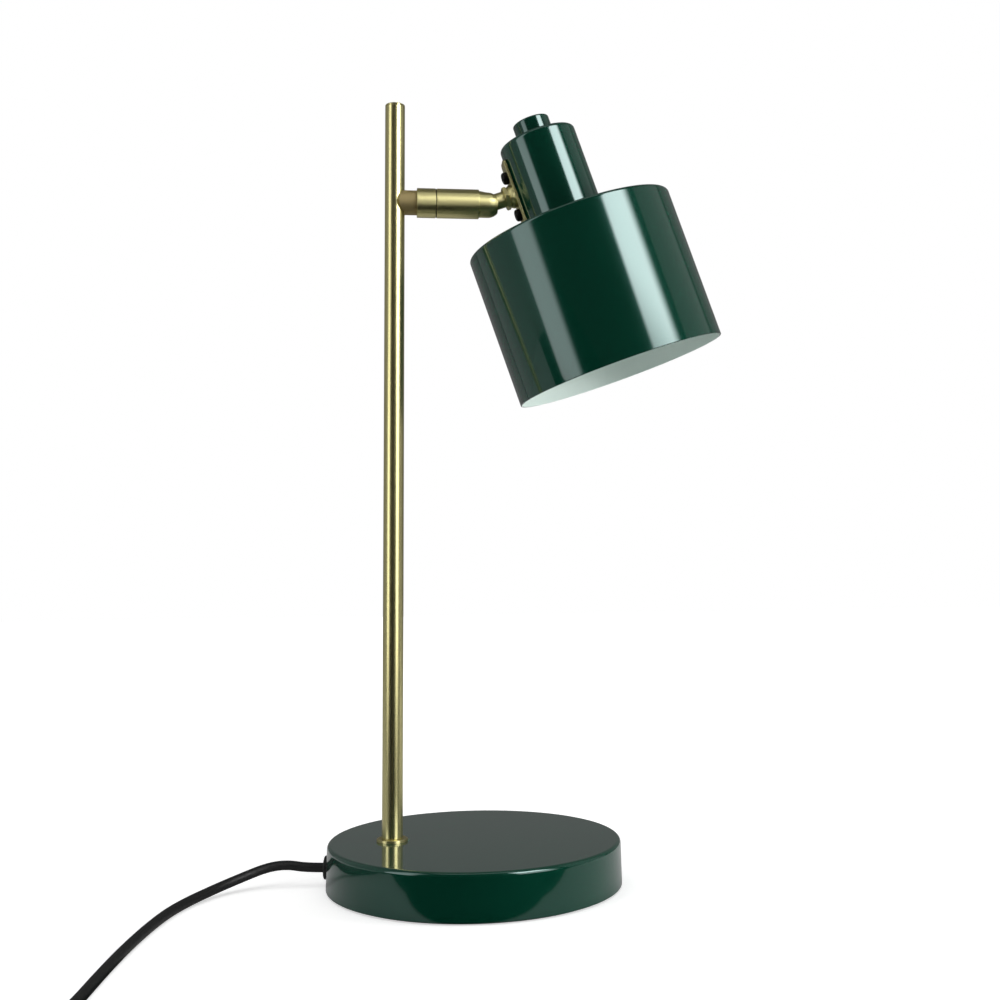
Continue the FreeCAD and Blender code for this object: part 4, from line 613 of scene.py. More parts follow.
def studio_floor(edge, reach):
    """White table. In reflections it ends in front, along an edge that is notched at the lamp."""
    notch_left, notch_half_width, edge_blur = 0.014, 0.085, 0.002
    paper_white, mirrored_white = 0.8, 0.55
    material = blank_material("table_paper_white")
    tree = material.node_tree
    ray = add_node(tree, "ShaderNodeLightPath")
    where = add_node(tree, "ShaderNodeTexCoord").outputs["Object"]
    parts = add_node(tree, "ShaderNodeSeparateXYZ", {"Vector": where})
    shifted = add_node(tree, "ShaderNodeMath", {0: parts.outputs["X"], 1: notch_left},
                       operation="ADD")
    aside = add_node(tree, "ShaderNodeMath", {0: shifted.outputs[0]}, operation="ABSOLUTE")
    notch = add_node(tree, "ShaderNodeMapRange", {
        "Value": aside.outputs[0], "From Min": 0.0, "From Max": notch_half_width,
        "To Min": 0.0, "To Max": reach})
    line = add_node(tree, "ShaderNodeMath", {0: notch.outputs["Result"], 1: parts.outputs["Y"]},
                    operation="ADD")
    table = add_node(tree, "ShaderNodeMapRange", {
        "Value": line.outputs[0], "From Min": edge - edge_blur, "From Max": edge + edge_blur,
        "To Min": 0.0, "To Max": mirrored_white})
    matt = add_node(tree, "ShaderNodeMapRange", {
        "Value": ray.outputs["Is Glossy Ray"], "To Min": paper_white,
        "To Max": table.outputs["Result"]})
    paper = add_node(tree, "ShaderNodeBsdfDiffuse", {"Color": matt.outputs["Result"]})
    # The camera sees the paper whiter, and fully white away from the lamp, where no shadow falls.
    away = add_node(tree, "ShaderNodeVectorMath", {0: where}, operation="LENGTH")
    whiter = add_node(tree, "ShaderNodeMapRange", {
        "Value": away.outputs["Value"], "From Min": 0.12, "From Max": 0.5,
        "To Min": 0.55, "To Max": 1.0}, interpolation_type="SMOOTHSTEP")
    glow = add_node(tree, "ShaderNodeEmission", {
        "Color": (1, 1, 1, 1), "Strength": whiter.outputs["Result"]})
    both = add_node(tree, "ShaderNodeAddShader", {0: paper.outputs[0], 1: glow.outputs[0]})
    seen = add_node(tree, "ShaderNodeMixShader", {
        0: ray.outputs["Is Camera Ray"], 1: paper.outputs[0], 2: both.outputs[0]})
    add_node(tree, "ShaderNodeOutputMaterial", {"Surface": seen.outputs[0]})
    bm = bmesh.new()
    bmesh.ops.create_grid(bm, x_segments=2, y_segments=2, size=4.0)
    object_from("table", bm, [material])


def soft_card(name, azimuth, distance, width, tall, bottom, top, feathers, place=None):
    """A softbox that only glossy surfaces see. Its sides fade, and its light changes with height.

    azimuth 0 faces the lamp from the front, and grows to the right. bottom and top are pairs of
    a height and the brightness there. feathers are the widths over which the left and the right
    side fade. place puts the card elsewhere.
    """
    material = blank_material(name + "_cloth")
    tree = material.node_tree
    where = add_node(tree, "ShaderNodeTexCoord").outputs["Object"]
    parts = add_node(tree, "ShaderNodeSeparateXYZ", {"Vector": where})
    level = add_node(tree, "ShaderNodeMapRange", {
        "Value": parts.outputs["Z"], "From Min": bottom[0], "From Max": top[0],
        "To Min": bottom[1], "To Max": top[1]}, interpolation_type="SMOOTHSTEP")
    left = add_node(tree, "ShaderNodeMapRange", {
        "Value": parts.outputs["X"], "From Min": -width / 2, "From Max": feathers[0] - width / 2,
        "To Min": 0.0, "To Max": level.outputs["Result"]}, interpolation_type="SMOOTHSTEP")
    right = add_node(tree, "ShaderNodeMapRange", {
        "Value": parts.outputs["X"], "From Min": width / 2 - feathers[1], "From Max": width / 2,
        "To Min": left.outputs["Result"], "To Max": 0.0}, interpolation_type="SMOOTHSTEP")
    light = add_node(tree, "ShaderNodeEmission", {
        "Color": (1, 1, 1, 1), "Strength": right.outputs["Result"]})
    add_node(tree, "ShaderNodeOutputMaterial", {"Surface": light.outputs[0]})
    bm = bmesh.new()
    corners = [(-width / 2, 0, 0), (width / 2, 0, 0), (width / 2, 0, tall), (-width / 2, 0, tall)]
    bm.faces.new([bm.verts.new(c) for c in corners])
    turn = math.radians(azimuth)
    standing = Matrix.Translation((distance * math.sin(turn), -distance * math.cos(turn), 0)) \
        @ Matrix.Rotation(turn, 4, "Z")
    card = object_from(name, bm, [material], place or standing)
    card.visible_camera = False
    card.visible_diffuse = False
    card.visible_shadow = False
    card.visible_transmission = False


def soft_lamp(name, place, aim, size, power):
    """A large soft lamp that lights the object and isn't mirrored in it."""
    data = bpy.data.lights.new(name, "AREA")
    data.shape = "RECTANGLE"
    data.size, data.size_y = size
    data.energy = power
    lamp = bpy.data.objects.new(name, data)
    lamp.location = place
    lamp.rotation_euler = (Vector(aim) - Vector(place)).to_track_quat("-Z", "Y").to_euler()
    lamp.visible_glossy = False
    bpy.context.scene.collection.objects.link(lamp)


class DESKLAMP_OT_stage(bpy.types.Operator):
    """Add the camera, the white table, the soft lamps and the surround"""
    bl_idname = "desklamp.stage"
    bl_label = "Stage and camera"

    def execute(self, context):
        stage = context.scene.lamp_stage
        data = bpy.data.cameras.new("camera")
        data.sensor_width = 36.0
        data.lens = stage.lens
        data.shift_x = stage.shift_x
        data.shift_y = stage.shift_y
        data.clip_start = 0.01
        yaw, pitch, roll = stage.camera_yaw, stage.camera_pitch, stage.camera_roll
        forward = Vector((math.sin(yaw) * math.cos(pitch), math.cos(yaw) * math.cos(pitch),
                          math.sin(pitch)))
        level = Vector((math.cos(yaw), -math.sin(yaw), 0))
        upright = level.cross(forward)
        across = level * math.cos(roll) + upright * math.sin(roll)
        above = upright * math.cos(roll) - level * math.sin(roll)
        camera = bpy.data.objects.new("camera", data)
        turn = Matrix((across, above, -forward)).transposed().to_4x4()
        camera.matrix_world = Matrix.Translation(stage.camera_place) @ turn
        context.scene.collection.objects.link(camera)
        context.scene.camera = camera
        studio_world()
        studio_floor(stage.table_edge, stage.table_reach)
        soft_card("left_softbox", -59.0, 1.2, 0.62, 1.5, (0.3, 2.2), (0.6, 1.8), (0.08, 0.16))
        soft_card("right_softbox", 44.0, 1.2, 0.78, 1.5, (0.5, 2.8), (0.8, 9.0), (0.1, 0.25))
        soft_card("right_wall", 92.0, 1.4, 1.3, 1.6, (0.0, 0.3), (1.5, 0.3), (0.1, 0.2))
        soft_card("left_wall", -106.0, 1.4, 1.9, 1.6, (0.0, 0.24), (1.5, 0.24), (0.1, 0.05))
        overhead = Matrix.Translation((0, -0.2, 1.1)) @ Matrix.Rotation(math.pi / 2, 4, "X")
        soft_card("overhead_softbox", 0.0, 0.2, 1.0, 0.3, (0.0, 0.9), (0.3, 0.9), (0.1, 0.1),
                  overhead)
        soft_lamp("left_lamp", (-1.3, -0.9, 0.9), (0, 0, 0.2), (0.6, 1.2), 5.0)
        soft_lamp("right_lamp", (1.6, -0.3, 0.36), (0, 0, 0.3), (0.8, 0.7), 20.5)
        soft_lamp("top_lamp", (0.0, 0.1, 1.6), (0, 0, 0), (1.6, 1.6), 10.0)
        context.scene.view_settings.view_transform = "Standard"
        return {"FINISHED"}


# Lead
def lead_points(sizes, switch):
    """Control points of the lead, in millimetres, from the gland to the plug."""
    exit_point = LEAD_START + Vector((0, 0, sizes.gland_height / MM))
    on_table = LEAD_START + Vector((0, 0, sizes.diameter / MM / 2))
    middle = SWITCH_CENTRE + Vector((0, 0, switch.split / MM))
    half = Vector((0, switch.length / MM / 2, 0))
    switch_in, switch_out = middle + half, middle - half
    radius, pitch = sizes.coil_radius / MM, sizes.coil_pitch / MM
    coil_start = COIL_CENTRE + Vector((-5.4, -radius, COIL_LOW))
    coil_finish = COIL_CENTRE + Vector((5.4, -radius, COIL_HIGH))
    points = [exit_point + Vector(step) for step in (
        (0, 0, 0), (-10.6, 1.4, 0), (-21.6, 2.8, 1.8), (-32.6, 1.8, 0.9), (-45.1, -3.2, -2.6),
        (-59.0, -14.2, -5.9))]
    points += [on_table + Vector(step) for step in (
        (-72.2, -37.2, 0), (-79.8, -63.2, 0), (-86.0, -106.7, 0), (-89.6, -151.2, 0),
        (-92.1, -204.2, 0))]
    points += [switch_in + Vector((0, 16.0, 0)), switch_in, middle, switch_out,
               switch_out + Vector((0, -11.0, 0)), switch_out + Vector((3.0, -27.0, -2.7)),
               coil_start + Vector((-40.6, 7.0, 0)), coil_start + Vector((-19.6, 0, 0)), coil_start]
    down = 2 * math.pi * sizes.coil_turns
    total = 2 * down + math.pi
    steps = round(total / (2 * math.pi) * sizes.points_per_turn)
    rate = pitch / (2 * math.pi)
    inner = radius - rate * down
    for k in range(steps + 1):
        turn = total * k / steps
        if turn <= down:
            reach, level = radius - rate * turn, COIL_LOW
        elif turn >= down + math.pi:
            reach, level = inner + rate * (turn - down - math.pi), COIL_HIGH
        else:
            part = (turn - down) / math.pi
            reach = inner - rate * math.pi * part * (1 - part)
            level = COIL_LOW + pitch * (part - math.sin(2 * math.pi * part) / (2 * math.pi))
        angle = turn - math.pi / 2
        # A control point stands a little outside the turn that its curve makes.
        reach /= math.cos(math.pi / sizes.points_per_turn) ** 0.75
        points.append(COIL_CENTRE + Vector((math.cos(angle) * reach, math.sin(angle) * reach, level)))
    points += [coil_finish, coil_finish + Vector((10.6, 0, 0)),
               coil_finish + Vector((26.6, 2.0, -3.1)), PLUG_TAIL + Vector((-30.0, -3.0, -2.85)),
               PLUG_TAIL + Vector((-12.0, 0, 0)), PLUG_TAIL]
    return points


class DESKLAMP_OT_lead(bpy.types.Operator):
    """Add the mains lead from the gland, through the switch and the coil, to the plug"""
    bl_idname = "desklamp.lead"
    bl_label = "Lead"

    def execute(self, context):
        sizes = context.scene.lamp_lead
        points = lead_points(sizes, context.scene.lamp_switch)
        curve = bpy.data.curves.new("lead", "CURVE")
        curve.dimensions = "3D"
        curve.resolution_u = 6
        curve.bevel_depth = sizes.diameter / 2
        curve.bevel_resolution = 6
        curve.use_fill_caps = True
        spline = curve.splines.new("NURBS")
        spline.points.add(len(points) - 1)
        for spot, point in zip(points, spline.points):
            point.co = (*(spot * MM), 1.0)
        spline.order_u = 3
        spline.use_endpoint_u = True
        curve.materials.append(finishes("pvc_lead_extruded")[0])
        lead = bpy.data.objects.new("lead", curve)
        context.scene.collection.objects.link(lead)
        dress(lead, "base", "cord_sheath", "cord_lead", "cord_link", "cord_coil", "cord_tail")
        return {"FINISHED"}


class DESKLAMP_OT_gland(bpy.types.Operator):
    """Add the black gland where the lead leaves the foot"""
    bl_idname = "desklamp.gland"
    bl_label = "Gland"

    def execute(self, context):
        foot, lead = context.scene.lamp_foot, context.scene.lamp_lead
        seat = foot.radius + GAP
        face = seat + 2.1 * MM
        outline = rounded([
            (2.75 * MM, seat - 6.0 * MM, 0.2 * MM, 0), (4.2 * MM, seat - 6.0 * MM, 0.4 * MM, 0),
            (4.2 * MM, seat, 0, 0), (lead.gland_radius, seat, 0.15 * MM, 0),
            (lead.gland_radius, face, 0.6 * MM, 0), (2.75 * MM, face, 0.35 * MM, 0)], True)
        place = Matrix.Translation((0, 0, lead.gland_height)) \
            @ Matrix.Rotation(GLAND_TURN, 4, "Z") @ Matrix.Rotation(math.pi / 2, 4, "Y")
        gland = turned("gland", outline, finishes("polycarbonate_moulded_black"), place, steps=64)
        dress(gland, "base", "black_plastic", "cord_gland")
        return {"FINISHED"}


def resampled(points, step):
    """A closed outline's length, and a function for the spot and outward side at a distance."""
    corners = [Vector(point) for point in points]
    ahead = corners[1:] + corners[:1]
    marks = [0.0]
    for here, after in zip(corners, ahead):
        marks.append(marks[-1] + (after - here).length)

    def spot(distance):
        distance %= marks[-1]
        k = max(j for j in range(len(corners)) if marks[j] <= distance)
        return corners[k].lerp(ahead[k], (distance - marks[k]) / (marks[k + 1] - marks[k]))

    def spot_and_side(distance):
        along = (spot(distance + step) - spot(distance - step)).normalized()
        return spot(distance), Vector((along.y, -along.x))

    return marks[-1], spot_and_side


class DESKLAMP_OT_strap(bpy.types.Operator):
    """Add the woven strap that holds the put-away coil together and closes on itself"""
    bl_idname = "desklamp.strap"
    bl_label = "Coil strap"

    def execute(self, context):
        sizes = context.scene.lamp_lead
        cord, pitch, thick = sizes.diameter / 2, sizes.coil_pitch, sizes.strap_thickness
        half, edge = thick / 2, 0.2 * MM
        inner = sizes.coil_radius - pitch * (sizes.coil_turns + 0.125) - cord - 1.0 * MM - half
        outer = sizes.coil_radius - pitch * 150 / 360 + cord + 0.3 * MM + half
        top = COIL_HIGH * MM + cord + 0.3 * MM + half
        loop = cut_corners([(outer, half), (outer, top), (inner, top), (inner, half)],
                           cord - half, 6)
        round_once, spot_and_side = resampled(loop, 0.3 * MM)
        start = top + 0.25 * (outer - inner)
        whole = round_once + sizes.strap_overlap
        across = sizes.strap_width / 2
        profile = [(-1, -edge), (-1, edge), (-0.96, half), (0.96, half), (1, edge), (1, -edge),
                   (0.96, -half), (-0.96, -half)]
        rings = []
        count = round(whole / (0.6 * MM))
        for k in range(count + 1):
            done = whole * k / count
            spot, side = spot_and_side(start + done)
            share = min(1.0, max(0.0, (done - round_once + 5.0 * MM) / (5.0 * MM)))
            lift = (thick + GAP) * share * share * (3 - 2 * share)
            left = min(1.0, (whole - done) / across)
            wide = across * max(0.2, math.sqrt(1 - (1 - left) ** 2))
            rings.append([(spot.x + side.x * (lift + b), wide * a, spot.y + side.y * (lift + b))
                          for a, b in profile])
        place = Matrix.Translation(COIL_CENTRE * MM) @ Matrix.Rotation(math.radians(60), 4, "Z")
        strap = lofted("coil_strap", rings, finishes("nylon_tape_woven"), place)
        dress(strap, "base", "tie_strap", "cord_tie")
        return {"FINISHED"}


# Foot and upright
class DESKLAMP_OT_foot(bpy.types.Operator):
    """Add the lacquered foot with its rubber pad and the ring round the upright"""
    bl_idname = "desklamp.foot"
    bl_label = "Foot"

    def execute(self, context):
        sizes = context.scene.lamp_foot
        upright = context.scene.lamp_upright
        inside = sizes.top_radius - sizes.wall
        ceiling = sizes.height - 1.4 * MM
        outline = rounded([
            (0, sizes.height, 0, 0), (sizes.top_radius, sizes.height, sizes.edge_round, 0),
            (sizes.radius, sizes.lift, 0.4 * MM, 0), (sizes.radius - sizes.wall, sizes.lift, 0.4 * MM, 0),
            (inside, ceiling, sizes.edge_round - sizes.wall, 0), (0, ceiling, 0, 0)], False, 9)
        shell = turned("foot_shell", outline, finishes("steel_lacquered_green"), None, False, 192)
        dress(shell, "base", "green_lacquer", "base_cover")
        outline = rounded([
            (0, 0, 0, 0), (sizes.pad_radius, 0, 0.5 * MM, 0),
            (sizes.pad_radius, sizes.pad_height, 0.2 * MM, 0), (0, sizes.pad_height, 0, 0)], False, 4)
        pad = turned("foot_pad", outline, finishes("rubber_sheet_cut"), None, False, 144)
        dress(pad, "base", "foot_rubber", "base_pad")
        low, top = sizes.height, sizes.height + sizes.ring_height
        inner, outer = upright.radius + GAP, sizes.ring_radius
        outline = rounded([
            (inner, low, 0, 0), (outer, low, 0.1 * MM, 0), (outer, top, 0.62 * MM, 0),
            (outer - 1.3 * MM, top, 0.3 * MM, 0), (inner, top - 0.7 * MM, 0.1 * MM, 0)], True, 5)
        ring = turned("foot_ring", outline, finishes("brass_bar_turned"), UPRIGHT_FRAME, steps=96)
        dress(ring, "base", "brass_satin", "pole_ring")
        return {"FINISHED"}


class DESKLAMP_OT_upright(bpy.types.Operator):
    """Add the upright tube and its cap"""
    bl_idname = "desklamp.upright"
    bl_label = "Upright"

    def execute(self, context):
        sizes, foot = context.scene.lamp_upright, context.scene.lamp_foot
        seam = sizes.top - sizes.cap
        inner, edge = sizes.radius - sizes.wall, 0.15 * MM
        outline = rounded([
            (inner, foot.height, 0, 0), (sizes.radius, foot.height, edge, 0),
            (sizes.radius, seam, edge, 0), (inner, seam, edge, 0)], True, 3)
        tube = turned("upright_tube", outline, finishes("brass_tube_brushed"), UPRIGHT_FRAME, steps=96)
        dress(tube, "base", "brass_satin", "pole_tube")
        spigot = inner - GAP
        outline = rounded([
            (0, sizes.top, 0, 0), (sizes.radius, sizes.top, sizes.cap_round, 0),
            (sizes.radius, seam, edge / 2, 0), (spigot, seam, 0, 0),
            (spigot, seam - 6.0 * MM, 0.3 * MM, 0), (0, seam - 6.0 * MM, 0, 0)], False, 6)
        cap = turned("upright_cap", outline, finishes("brass_bar_turned"), UPRIGHT_FRAME, False, 96)
        dress(cap, "base", "brass_satin", "pole_cap")
        return {"FINISHED"}


# Arm, stem and head
class DESKLAMP_OT_arm(bpy.types.Operator):
    """Add the arm's fixed collar, its turning sleeve and a black disc between them that paints the shadow in
    their gap
    """
    bl_idname = "desklamp.arm"
    bl_label = "Arm"

    def execute(self, context):
        sizes = context.scene.lamp_arm
        edge, bore = sizes.edge, sizes.bore
        outline = rounded([
            (bore, sizes.collar_start, 0, 0), (sizes.radius, sizes.collar_start, edge, 0),
            (sizes.radius, sizes.collar_end, edge, 0), (bore, sizes.collar_end, 0, 0)], True, 5)
        collar = turned("arm_collar", outline, finishes("brass_bar_turned"), ARM_FRAME)
        dress(collar, "base", "brass_satin", "swivel_collar")
        wide = sizes.radius - 1.4 * MM
        floor = sizes.sleeve_start + 4.0 * MM
        outline = rounded([
            (bore, sizes.sleeve_start, 0, 0), (sizes.radius, sizes.sleeve_start, edge, 0),
            (sizes.radius, sizes.sleeve_end, edge, 0), (wide, sizes.sleeve_end, 0.15 * MM, 0),
            (wide, floor, 0.3 * MM, 0), (bore, floor, 0, 0)], True, 5)
        sleeve = turned("arm_sleeve", outline, finishes("brass_bar_turned"), ARM_FRAME)
        dress(sleeve, "swivel_arm", "brass_satin", "swivel_sleeve")
        # A thin black disc fills the gap between the collar and the sleeve: painted shade, standing for the
        # shadow in that gap.
        low, high = sizes.collar_end + GAP, sizes.sleeve_start - GAP
        outline = [(bore, low, 0), (sizes.shim_radius, low, 0), (sizes.shim_radius, high, 0),
                   (bore, high, 0)]
        painted_gap_shade = turned("swivel_shim", outline, finishes("steel_black_oxide"), ARM_FRAME)
        dress(painted_gap_shade, "base", "black_screw")
        return {"FINISHED"}


class DESKLAMP_OT_stem(bpy.types.Operator):
    """Add the stem's locknut and the ferrule on the plate"""
    bl_idname = "desklamp.stem"
    bl_label = "Locknut and ferrule"

    def execute(self, context):
        sizes = context.scene.lamp_stem
        locknut = hexagon_nut("locknut", sizes.nut_flats, sizes.radius + GAP, sizes.nut_start,
                              sizes.nut_start + sizes.nut_thickness, 0.5 * MM,
                              finishes("brass_bar_turned"), STEM_FRAME)
        dress(locknut, "tilt_stem", "brass_satin", "stem_locknut")
        bore = sizes.radius + 0.08 * MM
        middle = (sizes.ferrule_start + sizes.ferrule_end) / 2
        outline = rounded([
            (bore, sizes.ferrule_start, 0.15 * MM, 0),
            (sizes.ferrule_tip, sizes.ferrule_start, 0.35 * MM, 0),
            (sizes.ferrule_radius, middle, 0.9 * MM, 0),
            (sizes.ferrule_radius, sizes.ferrule_end, 0.1 * MM, 0),
            (bore, sizes.ferrule_end, 0, 0)], True, 5)
        ferrule = turned("ferrule", outline, finishes("brass_bar_turned"), STEM_FRAME, steps=72)
        dress(ferrule, "head", "brass_satin", "stem_ferrule")
        return {"FINISHED"}


def head_frame(sizes):
    return Matrix.Translation(BALL) @ HEAD_TURN @ Matrix.Translation((sizes.offset, 0, -sizes.drop))


class DESKLAMP_OT_head(bpy.types.Operator):
    """Add the neck, the cap on it and the shade"""
    bl_idname = "desklamp.head"
    bl_label = "Head"

    def execute(self, context):
        sizes = context.scene.lamp_head
        place = head_frame(sizes)
        top, pipe = sizes.neck_length, 5.05 * MM
        inside, ceiling = sizes.neck_radius - sizes.neck_wall, top - 1.5 * MM
        outline = rounded([
            (sizes.neck_radius, 0, 0, 0), (sizes.neck_radius, top, sizes.neck_round, 0),
            (pipe, top, 0, 0), (pipe, ceiling, 0, 0),
            (inside, ceiling, sizes.neck_round - sizes.neck_wall, 0), (inside, 0, 0, 0)], True, 9)
        neck = turned("neck", outline, finishes("steel_lacquered_green"), place, steps=144)
        dress(neck, "head", "green_lacquer", "neck_cup")
        crown = top + sizes.finial_height
        outline = rounded([
            (0, crown, 0, 0), (sizes.finial_radius, crown, sizes.finial_round, 0),
            (sizes.finial_radius, top, 0.2 * MM, 0), (pipe, top, 0, 0),
            (pipe, top + 9.0 * MM, 0, 0), (0, top + 9.0 * MM, 0, 0)], False, 8)
        finial = turned("finial", outline, finishes("steel_lacquered_green"), place, False, 96)
        dress(finial, "head", "green_lacquer", "finial_cap")
        outer, inner = sizes.shade_radius, sizes.shade_radius - sizes.shade_wall
        mouth, roof = -sizes.shade_length, -sizes.shade_wall
        outline = rounded([
            (SHADE_HOLE, 0, 0, 0), (outer, 0, sizes.shade_round, 0), (outer, mouth, 0.35 * MM, 0),
            (inner, mouth, 0.35 * MM, 1), (inner, roof, sizes.shade_round - sizes.shade_wall, 1),
            (SHADE_HOLE, roof, 0, 1)], True, 9)
        lacquers = finishes("steel_lacquered_green", "steel_lacquered_white")
        shade = turned("shade_shell", outline, lacquers, place, steps=240)
        dress(shade, "head", "green_lacquer", "shade")
        return {"FINISHED"}


class DESKLAMP_OT_plate(bpy.types.Operator):
    """Add the brass plate on the neck and its two black screws"""
    bl_idname = "desklamp.plate"
    bl_label = "Plate"

    def execute(self, context):
        sizes = context.scene.lamp_head
        back = -sizes.neck_radius - GAP
        facing = head_frame(sizes) @ Matrix.Translation((back, 0, sizes.drop)) \
            @ Matrix.Rotation(-math.pi / 2, 4, "Y")
        long, wide, edge = sizes.plate_length / 2, sizes.plate_width / 2, 0.3 * MM
        outline = cut_corners([(-long, -wide), (long, -wide), (long, wide), (-long, wide)],
                              sizes.plate_corner, 8)
        plate = lofted("neck_plate", domed_edge(outline, edge, 0, sizes.plate_thickness, 3),
                       finishes("brass_pressed_bare"), facing)
        dress(plate, "head", "brass_satin", "bracket_plate")
        low, high = sizes.plate_thickness, sizes.plate_thickness + sizes.screw_height
        outline = rounded([
            (0, high - 1.1 * MM, 0, 0), (1.3 * MM, high - 1.0 * MM, 0, 0),
            (1.5 * MM, high - 0.04 * MM, 0, 0), (sizes.screw_radius, high - 0.3 * MM, 1.6 * MM, 0),
            (sizes.screw_radius, low, 0.1 * MM, 0), (1.5 * MM, low, 0, 0),
            (1.5 * MM, low - 3.9 * MM, 0.2 * MM, 0), (0, low - 3.9 * MM, 0, 0)], False, 6)

        def crossed(r, z, angle):
            """Cross slot in the screw's head."""
            if z > high - 1.05 * MM and r < 1.55 * MM:
                return r * (0.34 + 0.66 * abs(math.cos(2 * angle)) ** 5)
            return r

        for side, name in ((-1, "plate_screw_lower"), (1, "plate_screw_upper")):
            place = facing @ Matrix.Translation((side * sizes.screw_spacing / 2, 0, 0)) \
                @ Matrix.Rotation(0.4 * side, 4, "Z")
            screw = turned(name, outline, finishes("steel_black_oxide"), place, False, 64, crossed)
            dress(screw, "head", "black_screw", "bracket_screws")
        return {"FINISHED"}


class DESKLAMP_OT_socket(bpy.types.Operator):
    """Add the bulb's socket with its threads and the ribbed ring that holds the shade"""
    bl_idname = "desklamp.socket"
    bl_label = "Bulb socket"

    def execute(self, context):
        sizes = context.scene.lamp_socket
        place = head_frame(context.scene.lamp_head)
        crest, pitch, foot = sizes.thread_radius, sizes.thread_pitch, -sizes.drop

        def threaded(r, z, angle):
            """Rounded thread on the skirt, run out at both ends."""
            if r < crest - 0.01 * MM or z > 0.1 * MM:
                return r
            ends = min(1.0, max(0.0, (z - foot - 0.8 * MM) / MM), max(0.0, -z / MM))
            wave = 0.5 - 0.5 * math.cos(2 * math.pi * z / pitch - angle)
            return r - 0.8 * MM * ends * wave ** 1.5

        outline = [(0, 8.0 * MM, 0), (7.75 * MM, 8.0 * MM, 0), (7.75 * MM, foot + 0.6 * MM, 0),
                   (8.3 * MM, foot, 0), (crest - 0.6 * MM, foot, 0)]
        outline += steps_between(crest, foot + 0.5 * MM, 0, 56)
        outline += [(17.0 * MM, 0, 0), (17.0 * MM, 1.9 * MM, 0), (16.8 * MM, 2.0 * MM, 0),
                    (13.0 * MM, 2.0 * MM, 0), (13.0 * MM, 24.0 * MM, 0), (11.7 * MM, 24.0 * MM, 0),
                    (11.7 * MM, 27.5 * MM, 0), (0, 27.5 * MM, 0)]
        skirt = turned("socket_skirt", outline, finishes("polycarbonate_moulded_black"), place, False, 96,
                       threaded)
        dress(skirt, "head", "black_plastic", "lampholder_body")

        def screwed(r, z, angle):
            """Rolled bulb thread of the shell."""
            if z > 4.6 * MM:
                return r
            return r + 0.25 * MM * (math.sin(2 * math.pi * z / (2.82 * MM) - angle) - 1)

        wall, low, high = sizes.bore + 0.6 * MM, -12.0 * MM, 6.0 * MM
        outline = steps_between(wall, low, high, 60)
        outline += steps_between(sizes.bore + 0.25 * MM, high, low, 60)
        shell = turned("bulb_shell", outline, finishes("brass_pressed_bare"), place, True, 72,
                       screwed)
        dress(shell, "head", "brass_plain", "lampholder_contacts")

        def ribbed(r, z, angle):
            """Grip ribs round the ring."""
            if r < 17.0 * MM:
                return r
            return r - 0.9 * MM * abs(math.cos(sizes.ribs * angle / 2)) ** 4

        roof = -context.scene.lamp_head.shade_wall
        low = roof - sizes.ring_height
        outline = rounded([
            (SHADE_HOLE, low, 0.3 * MM, 0), (sizes.ring_radius, low, 0.7 * MM, 0),
            (sizes.ring_radius, roof, 0.3 * MM, 0), (SHADE_HOLE, roof, 0, 0)], True, 4)
        ring = turned("shade_ring_ribbed", outline, finishes("polycarbonate_moulded_black"), place,
                      True, 336, ribbed)
        dress(ring, "head", "black_plastic", "shade_ring")
        return {"FINISHED"}


# Switch and plug
class DESKLAMP_OT_switch(bpy.types.Operator):
    """Add the upper half of the switch on the lead"""
    bl_idname = "desklamp.switch"
    bl_label = "Switch"

    def execute(self, context):
        sizes = context.scene.lamp_switch
        place = Matrix.Translation(SWITCH_CENTRE * MM) @ Matrix.Rotation(-math.pi / 2, 4, "Z")
        half, side = sizes.length / 2, sizes.width / 2
        shoulder, end = half - sizes.shoulder, sizes.end_width / 2
        outline = cut_corners([
            (half, -end), (half, end), (shoulder, side), (-shoulder, side), (-half, end),
            (-half, -end), (-shoulder, -side), (shoulder, -side)], 2.0 * MM, 5)
        low, top, edge = sizes.split + 0.1 * MM, sizes.height, 2.0 * MM
        rings = [at_height(inset(outline, 0.25 * MM), low),
                 at_height(inset(outline, 0.08 * MM), low + 0.08 * MM),
                 at_height(outline, low + 0.3 * MM)]
        for step in range(7):
            turn = math.pi / 2 * step / 6
            rings.append(at_height(inset(outline, edge * (1 - math.cos(turn)) * 0.97),
                                   top - edge * (1 - math.sin(turn))))
        slot_half, slot_side = sizes.rocker_length / 2 + 0.9 * MM, sizes.rocker_width / 2 + 0.3 * MM
        slot = cut_corners([(slot_half, -slot_side), (slot_half, slot_side), (-slot_half, slot_side),
                            (-slot_half, -slot_side)], 0.8 * MM, 5)
        angles = [math.atan2(y, x) for x, y in outline]

        def slot_ring(grow, z):
            reaches = [reach_of(slot, a) + grow for a in angles]
            return [(r * math.cos(a), r * math.sin(a), z) for r, a in zip(reaches, angles)]

        rings += [slot_ring(0.4 * MM, top), slot_ring(0.1 * MM, top - 0.1 * MM),
                  slot_ring(0.0, top - 0.4 * MM), slot_ring(0.0, low + 0.5 * MM)]
        upper = lofted("switch_shell_upper", rings, finishes("polycarbonate_moulded_black"), place,
                       False)
        dress(upper, "base", "black_plastic", "switch_upper")
        return {"FINISHED"}


